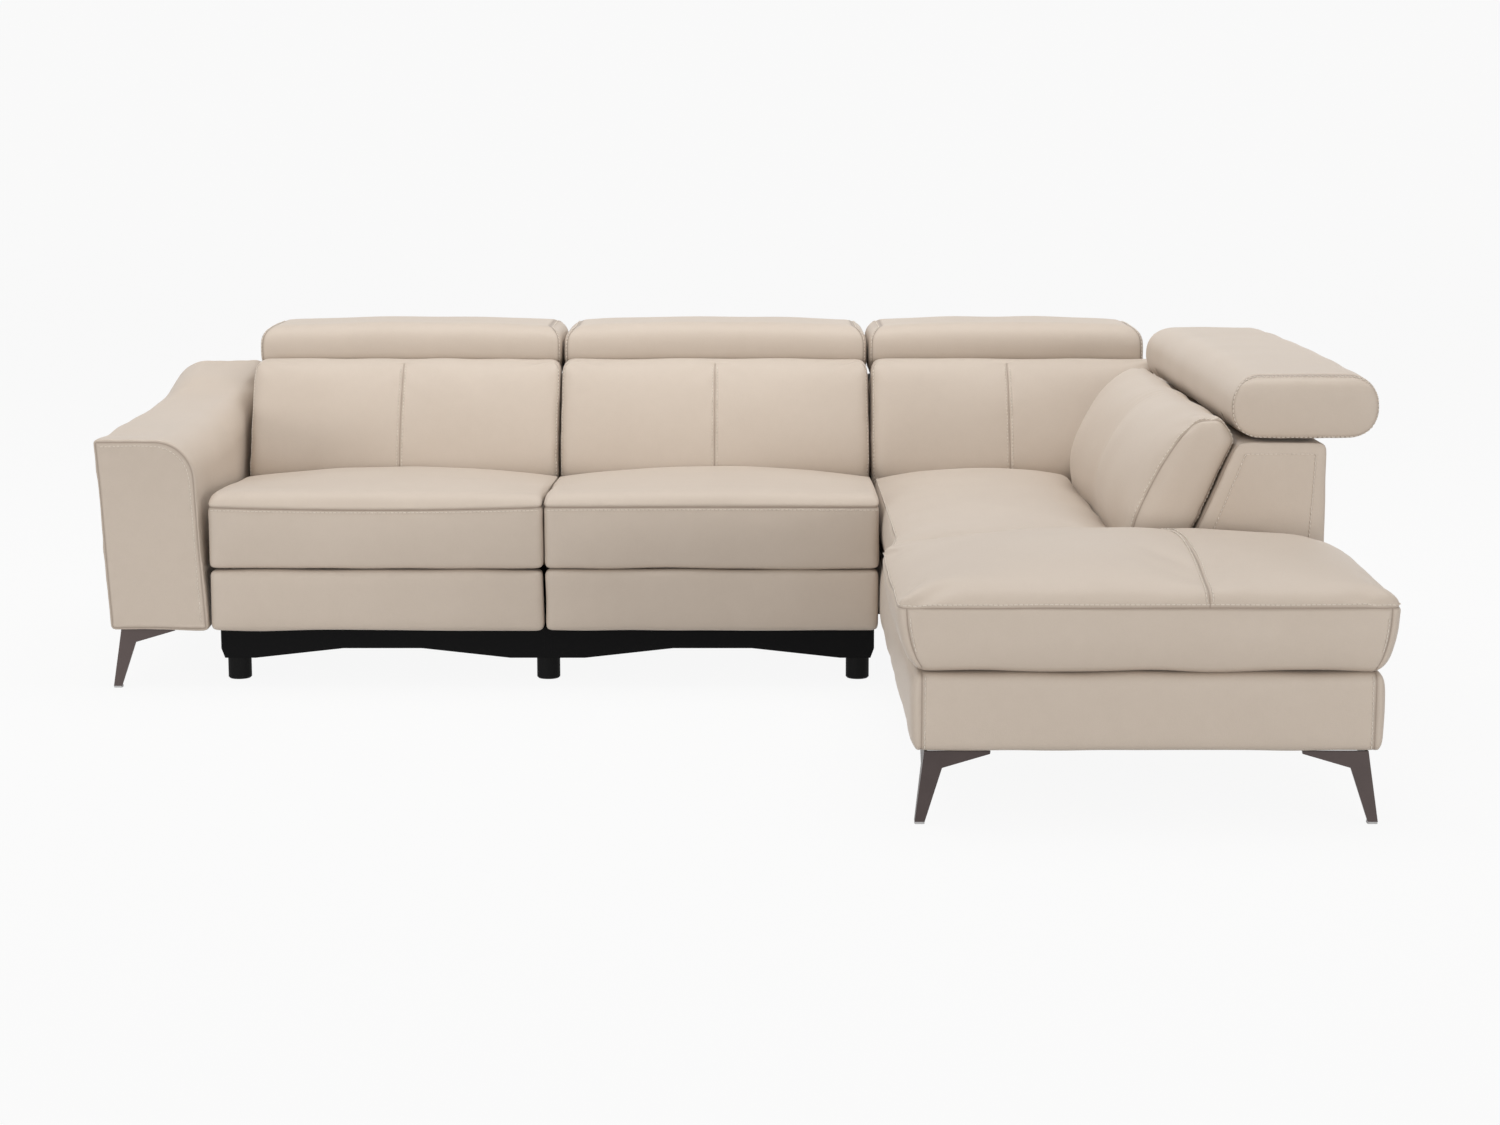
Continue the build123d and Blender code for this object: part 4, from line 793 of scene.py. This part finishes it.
shell_out, panel_deep, panel_drop, panel_in, panel_swell = 0.0016, 0.020, 0.012, 0.02, 0.004
for side in SIDES:
    low, high = corners(f"{side}_back_shell")
    points, quads = shell_skin(low[0] - shell_out, high[0] + shell_out, BACK_FOOT)[:2]
    seam = np.full(len(points), FAR)
    points = sewn(points, quads, seam, seed=61, dents=0.0006)
    panel_low = np.array([low[0], high[1] - panel_deep, low[2]])
    panel_high = high - (0, 0, panel_drop)
    panel_seams = (low[0] + panel_in, high[0] - panel_in)
    plain, panel_quads, panel_ids, lines = block_skin(
        panel_low, panel_high, (0.03, 0.010, 0.022), (panel_seams, (), ()),
    )
    panel = rounded(plain, panel_low, panel_high, radius=0.008)
    rear = plain[:, 1] >= high[1]
    panel[:, 1] += np.where(rear, panel_swell, 0)
    edges = np.where(rear, gap_to(plain[:, 0], panel_seams), FAR)
    panel = sewn(panel, panel_quads, edges, seed=67, sink=0.002, dents=0.0009)
    skin = np.concatenate([points, panel])
    faces = np.concatenate([quads, panel_quads + len(points)])
    seam = np.concatenate([seam, edges])
    body = f"{side}_back"
    padded_piece(f"{side}_shell_leather", skin, faces, seam, body, f"{side}_back_shell")
    stitches = (panel_seams[0] + STITCH_GAP, panel_seams[1] - STITCH_GAP)
    rows = [panel_ids[row_at(lines[0], x), -1] for x in stitches]
    stitched(f"{side}_shell_stitching", panel, panel_quads, rows, body)

low, high = corners("return_back_shell")
end_seam_in, end_swell_reach = 0.012, 0.03
end_seam = -low[1] - end_seam_in
points, quads, ids, flat = shell_skin(-high[1], -low[1], low[2], step=0.032, seams=(end_seam,))
end = flat[:, 0] >= -low[1]
border = np.minimum(np.minimum(flat[:, 1], 1 - flat[:, 1]) * SHELL_THICK, SHELL_TOP - flat[:, 2])
seam = np.where(end, FAR, np.abs(flat[:, 0] - end_seam))
points[:, 0] += np.where(end, panel_swell * np.clip(border / end_swell_reach, 0, 1), 0)
points = to_return(sewn(points, quads, seam, seed=71, sink=0.0025, dents=0.0007))
padded_piece("return_shell_leather", points, quads, seam, "base", "return_back_shell")
frame_row = np.concatenate([ids[-1, 1, 1:-2], ids[-1, 1:-1, -2], ids[-1, -2, -3:0:-1]])
stitched("return_shell_stitching", points, quads, [frame_row], "base")

low, high = corners("corner_back_shell")
corner_out, corner_clear = 0.003, 0.001
low[0] -= corner_out
points, quads = shell_skin(low[0], high[0], low[2])[:2]
reach = inner_face(points[:, 2]) + RETURN_SHIFT - corner_clear
points[:, 0] = low[0] + (points[:, 0] - low[0]) * (reach - low[0]) / (high[0] - low[0])
seam = np.full(len(points), FAR)
points = sewn(points, quads, seam, seed=73, dents=0.0006)
padded_piece("corner_shell_leather", points, quads, seam, "base", "corner_back_shell")


# Back cushions: boxed foam under leather, tied to the shells. A twin-stitched seam runs down the middle
# of the face, and a seam at each end joins the face to its border. The return's cushion has two lobes.

BACK_TOP = 0.666
BACK_THICK = 0.127
BACK_BORDER = 0.013
BACK_CLEAR = 0.0008
BACK_SWELL = 0.010
FACE_LEVELS = (0.330, 0.437, 0.540, 0.630, 0.668)
FACE_DEPTHS = (0.377, 0.383, 0.342, 0.286, 0.259)
LOBE_LEVELS = (BACK_FOOT, 0.40, 0.47, 0.54, 0.61, BACK_TOP)
SHOULDER, SHOULDER_SLOPE = 0.612, 0.35


def back_skin(start, end, seams, lobes=0.0):
    """Back cushion along a run: a rounded block in run, thickness and height. At each height it reaches
    from the curved face to the shell's raked face; its face swells between its seams, or in two lobes."""
    low, high = (start, 0, BACK_FOOT), (end, BACK_THICK, BACK_TOP)
    box_seams = (seams, () if lobes else (BACK_BORDER,), ())
    flat, quads, ids, lines = block_skin(low, high, (0.0125, 0.0145, 0.0125), box_seams)
    radius = (0.036, 0.042, 0.050) if lobes else (0.022, 0.030, 0.032)
    soft = rounded(flat, low, high, radius)
    along = spread(flat[:, 0], start, end)
    height = spread(flat[:, 2], BACK_FOOT, BACK_TOP)
    level = soft[:, 2]
    face = SHELL_REAR - flowing(level, FACE_LEVELS, FACE_DEPTHS)
    over = inner_face(SHOULDER) - SHOULDER_SLOPE * np.maximum(level - SHOULDER, 0)
    rear = np.minimum(inner_face(level), over) - BACK_CLEAR
    share = soft[:, 1] / BACK_THICK
    lobe = 0.25 * (1 - along ** 6) + 0.75 * (1 - np.abs(2 * np.abs(along) - 1) ** 2.2)
    tallest = flowing(level, LOBE_LEVELS, (0, -0.1, 0.65, 1, 0.9, 0.3))
    swell = BACK_SWELL * (1 - along ** 4) * (1 - np.clip(height, -0.2, 1) ** 4) + lobes * lobe * tallest
    front = np.clip(1 - share * 1.6, 0, 1)
    points = np.stack([soft[:, 0], between(face, rear, share) - swell * front, level], -1)
    beside = gap_to(flat[:, 0], seams)
    if lobes:
        seam = np.where(np.abs(along) >= 1, FAR, beside)
    else:
        boxed = np.where(np.abs(along) >= 1, np.abs(flat[:, 1] - BACK_BORDER), FAR)
        seam = np.minimum(boxed, np.where(flat[:, 1] <= 0, beside * 1.5, FAR))
    held = (seam < HELD) | (flat[:, 1] >= BACK_THICK) | (flat[:, 2] <= BACK_FOOT)
    return points, quads, ids, seam, held, lines


def back_rows(ids, lines, split):
    """Twin rows of stitches beside the middle seam, and a row beside the seam at each end of the face."""
    rows = [ids[row_at(lines[0], split + gap), 0, 6:-1] for gap in (-STITCH_GAP, STITCH_GAP)]
    j = row_at(lines[1], BACK_BORDER - STITCH_GAP)
    return rows + [ids[0, j, 4:-1], ids[-1, j, 4:-1]]


back_out, back_slack = 0.001, 0.0015
for side, off in zip(SIDES, (0.008, 0.0)):
    low, high = corners(f"{side}_back_cushion")
    split = (low[0] + high[0]) / 2 - off
    points, quads, ids, seam, held, lines = back_skin(low[0] - back_out, high[0] + back_out, (split,))
    points = plumped(points, quads, held, pressure=3.0, cap=0.012)
    points = sewn(points, quads, seam, seed=81 + len(side), sink=0.003, dents=0.0010, puckers=0.0012)
    points[:, 0] = np.clip(points[:, 0], low[0] - back_slack, high[0] + back_slack)
    body = f"{side}_back"
    padded_piece(f"{side}_back_leather", points, quads, seam, body, f"{side}_back_cushion")
    stitched(f"{side}_back_stitching", points, quads, back_rows(ids, lines, split), body)

low, high = corners("corner_back_cushion")
split_in, fixed_past, first_clear, last_clear = 0.325, 0.02, 0.003, 0.001
split = low[0] + split_in
points, quads, ids, seam, held, lines = back_skin(low[0] - back_out, high[0], (split,))
fixed = split + fixed_past
reach = inner_face(points[:, 2]) + RETURN_SHIFT - first_clear
stretched = fixed + (points[:, 0] - fixed) * (reach - fixed) / (high[0] - fixed)
points[:, 0] = np.where(points[:, 0] > fixed, stretched, points[:, 0])
points = plumped(points, quads, held, pressure=3.0, cap=0.012)
points = sewn(points, quads, seam, seed=87, sink=0.003, dents=0.0010, puckers=0.0012)
points[:, 0] = np.minimum(points[:, 0], inner_face(points[:, 2]) + RETURN_SHIFT - last_clear)
padded_piece("corner_back_leather", points, quads, seam, "base", "corner_back_cushion")
stitched("corner_back_stitching", points, quads, back_rows(ids, lines, split)[:-1], "base")

low, high = corners("return_back_cushion")
end_seams = (BACK_BORDER - high[1], -low[1] - BACK_BORDER)
points, quads, ids, seam, held, lines = back_skin(-high[1], -low[1], end_seams, lobes=0.034)
points = plumped(points, quads, held, pressure=3.5, cap=0.016)
pleat, pleat_deep, pleat_reach, pleat_level, pleat_tall = 0.021, 0.0026, 0.05, 0.646, 0.026
middle = points[:, 0] + (low[1] + high[1]) / 2
gather = np.sin(middle * 2 * math.pi / pleat) * bell(middle, pleat_reach)
gather *= pleat_deep * bell(points[:, 2] - pleat_level, pleat_tall)
points = points + gather[:, None] * normals(points, quads)
points = to_return(sewn(points, quads, seam, seed=91, sink=0.003, dents=0.0014, puckers=0.0018))
padded_piece("return_back_leather", points, quads, seam, "base", "return_back_cushion")
i = row_at(lines[0], end_seams[1] - STITCH_GAP)
ring = np.concatenate([ids[i, 0, 4:-1], ids[i, :, -1], ids[i, -1, -2:4:-1]])
stitched("return_back_stitching", points, quads, [ring], "base")


# Headrests: foam bolsters under leather, closed by a sewn cap at each end. Each swings up about a rod
# through its front edge, which two steel plates on the shell hold in slots in the foam.

REST_REAR = SHELL_REAR + 0.103
REST_FRONT = REST_REAR - 0.294
REST_LOW = SHELL_TOP + 0.006
REST_HIGH = SHELL_TOP + 0.135
PIVOT_Y = REST_FRONT + 0.0645
PIVOT_Z = SHELL_TOP + 0.0705
BRACKET_IN = 0.150


def bolster(start, end, seed, fall):
    """Bolster along a run: a block rounded to near half circles, with its upper end corners rounded off and
    its top arched. A seam ring joins a flat cap at each end."""
    cap, corner_tall, corner_in, corner_reach, arch = 0.009, 0.044, 0.034, 0.07, 0.008
    seams = (start + cap, end - cap)
    low, high = (start, REST_FRONT, REST_LOW), (end, REST_REAR, REST_HIGH)
    flat, quads, ids, lines = block_skin(low, high, (0.015, 0.0125, 0.0105), (seams, (), ()))
    points = rounded(flat, low, high, radius=(0.010, 0.058, 0.060))
    along = spread(points[:, 0], start, end)
    from_end = (1 - np.abs(along)) * (end - start) / 2
    over = part_way(points[:, 2], REST_HIGH - corner_tall, REST_HIGH)
    inwards = corner_in * (1 - np.sqrt(1 - 0.97 * over ** 2)) * bell(from_end, corner_reach)
    points[:, 0] -= np.sign(along) * inwards
    points[:, 2] += part_way(points[:, 2], REST_LOW, REST_HIGH) * (arch * (1 - along ** 2) - fall)
    seam = np.where((flat[:, 0] <= start) | (flat[:, 0] >= end), FAR, gap_to(flat[:, 0], seams))
    points = sewn(points, quads, seam, seed, sink=0.0024, dents=0.0007, puckers=0.0008)
    rings = []
    for at in (seams[0] - CLOSE * STITCH_GAP, seams[1] + CLOSE * STITCH_GAP):
        cut = ids[row_at(lines[0], at)]
        rings.append(np.concatenate([cut[:, 0], cut[-1, 1:], cut[-2::-1, -1], cut[0, -2:0:-1], cut[:1, 0]]))
    return points, quads, seam, rings


def slotted(piece, places, turned):
    """Cuts a bracket slot at each place: a wedge from the rod down, as wide as the bracket's sweep."""
    half, reach, half_thick = 0.017, 0.135, 0.005
    lean, swing = math.radians(30.0), math.radians(80.0)
    angles = np.array([0, 0, swing / 2, swing, swing]) - lean
    out = np.array([0, reach, 1.6 * reach, reach, 0])
    across = np.array([-half, -half, 0, half, half])
    arc = np.linspace(swing - lean, math.pi - lean, 9)[1:-1]
    y = np.concatenate([-out * np.sin(angles) - across * np.cos(angles), -half * np.cos(arc)])
    z = np.concatenate([-out * np.cos(angles) + across * np.sin(angles), half * np.sin(arc)])
    ring = np.stack([y + PIVOT_Y, z + PIVOT_Z], -1)[::-1]
    count = len(ring)
    verts, faces = [], []
    for k, place in enumerate(places):
        verts += [np.insert(ring, 0, x, axis=1) for x in (place - half_thick, place + half_thick)]
        near = np.arange(count) + 2 * k * count
        far = near + count
        faces += np.stack([near, np.roll(near, -1), np.roll(far, -1), far], -1).tolist()
        faces += [near[::-1].tolist(), far.tolist()]
    verts = np.concatenate(verts)
    mesh = bpy.data.meshes.new("slot")
    mesh.from_pydata((to_return(verts) if turned else verts).tolist(), [], faces)
    cutter = bpy.data.objects.new("slot", mesh)
    bpy.context.scene.collection.objects.link(cutter)
    cut = piece.modifiers.new("slots", "BOOLEAN")
    cut.operation = "DIFFERENCE"
    cut.object = cutter
    cut.solver = "EXACT"
    bpy.context.view_layer.update()
    done = bpy.data.meshes.new_from_object(piece.evaluated_get(bpy.context.evaluated_depsgraph_get()))
    piece.modifiers.clear()
    piece.data = done
    bpy.data.objects.remove(cutter)


spare = 0.0022
spare_ends = {"left": (spare, spare), "middle": (spare, spare), "corner": (spare, 0), "return": (0, 0)}
for name, (left_spare, right_spare) in spare_ends.items():
    low, high = corners(f"{name}_headrest_pad")
    turned = name == "return"
    start, end = (-high[1], -low[1]) if turned else (low[0], high[0])
    points, quads, seam, rings = bolster(
        start - left_spare, end + right_spare, seed=95 + len(name), fall=0.003 if turned else 0.010,
    )
    points = to_return(points) if turned else points
    body, solid = f"{name}_headrest", f"{name}_headrest_pad"
    piece = padded_piece(f"{name}_headrest_leather", points, quads, seam, body, solid)
    slotted(piece, (start + BRACKET_IN, end - BRACKET_IN), turned)
    stitched(f"{name}_headrest_stitching", points, quads, rings, body)


# Rear apron and switches: a leather-covered board closes the base behind the recliners, and each seat
# has a plain rocker switch in a moulded plate let into its cushion's side.

clothe(["rear_apron"], leather)
for side in SIDES:
    clothe([f"{side}_switch_plate"], moulded_plastic(f"{side}_switch_plastic", tone=0.035, rough=0.48))
    clothe([f"{side}_rocker"], moulded_plastic(f"{side}_rocker_plastic", tone=0.012, rough=0.30))


# Stage: a pale floor that runs up into a backdrop, soft lamps from above and from both sides, and the
# camera where the photograph was taken from.

half_width, front_end, rear_end = 16.0, -14, 11
curve = [(12.2, 0.25), (13.0, 1.0), (13.3, 2.2), (13.3, 12.0)]
line = np.concatenate([np.linspace((front_end, 0), (rear_end, 0), 11), curve])
across = np.array([-half_width, half_width])
points = np.stack(np.broadcast_arrays(across[None, :], line[:, :1], line[:, 1:]), -1).reshape(-1, 3)
floor_faces = tiles(np.arange(len(points)).reshape(-1, 2), True)
paper, shader, place = material("pale_paper")
tone = place.noise(6.0, 3.0).blend((0.60, 0.60, 0.60, 1), (0.64, 0.64, 0.64, 1))
finish_with(paper, shader, Base_Color=tone, Roughness=0.9, Specular_IOR_Level=0.1)


def seen_white(tree, output, lit, glow, white, share):
    """Shows white to camera, glossy and transmission rays, by the share given, and the lit shader to
    others."""
    root = Shade(tree, lit)
    camera, glossy, through = (
        root.node("ShaderNodeLightPath", out=f"Is {kind} Ray")
        for kind in ("Camera", "Glossy", "Transmission")
    )
    seen = (camera + glossy + through).clamped() * share
    pale = root.node(glow, Color=(1, 1, 1, 1), Strength=white)
    shown = root.node("ShaderNodeMixShader", i0=seen, i1=root, i2=pale)
    tree.links.new(shown.socket, tree.nodes[output].inputs["Surface"])


seen_white(paper.node_tree, "Material Output", shader.outputs[0], "ShaderNodeEmission", white=1.0, share=0.92)
floor = add_mesh("floor", points, floor_faces, paper)

world = bpy.data.worlds.new("studio")
bpy.context.scene.world = world
world.use_nodes = True
sky = world.node_tree.nodes["Background"]
sky.inputs["Color"].default_value = (1.0, 0.985, 0.97, 1)
sky.inputs["Strength"].default_value = 0.53
seen_white(world.node_tree, "World Output", sky.outputs[0], "ShaderNodeBackground", white=0.96, share=1.0)


def lamp(name, place, aim, size, power):
    light = bpy.data.lights.new(name, "AREA")
    light.shape = "RECTANGLE"
    light.size, light.size_y = size
    light.energy = power
    light.color = (1.0, 0.985, 0.965)
    made = bpy.data.objects.new(name, light)
    made.location = place
    made.rotation_euler = (Vector(aim) - Vector(place)).to_track_quat("-Z", "Y").to_euler()
    bpy.context.scene.collection.objects.link(made)


lamp("overhead", place=(0.0, 0.7, 4.2), aim=(0.0, 0.7, 0.3), size=(5.0, 3.2), power=104)
lamp("front_left", place=(-8.6, -12.8, 1.3), aim=(0, 0, 0.4), size=(6.0, 2.4), power=480)
lamp("front_right", place=(8.8, -13.0, 1.4), aim=(0.4, 0, 0.4), size=(6.0, 2.6), power=465)

view = bpy.data.cameras.new("view")
view.sensor_width = 36.0
view.lens = 69.3
camera = bpy.data.objects.new("view", view)
camera.location = (0.0948, -6.1584, 1.2829)
camera.rotation_euler = (math.radians(90 - 9.103), 0, 0)
bpy.context.scene.collection.objects.link(camera)
bpy.context.scene.camera = camera
bpy.context.scene.view_settings.view_transform = "Standard"
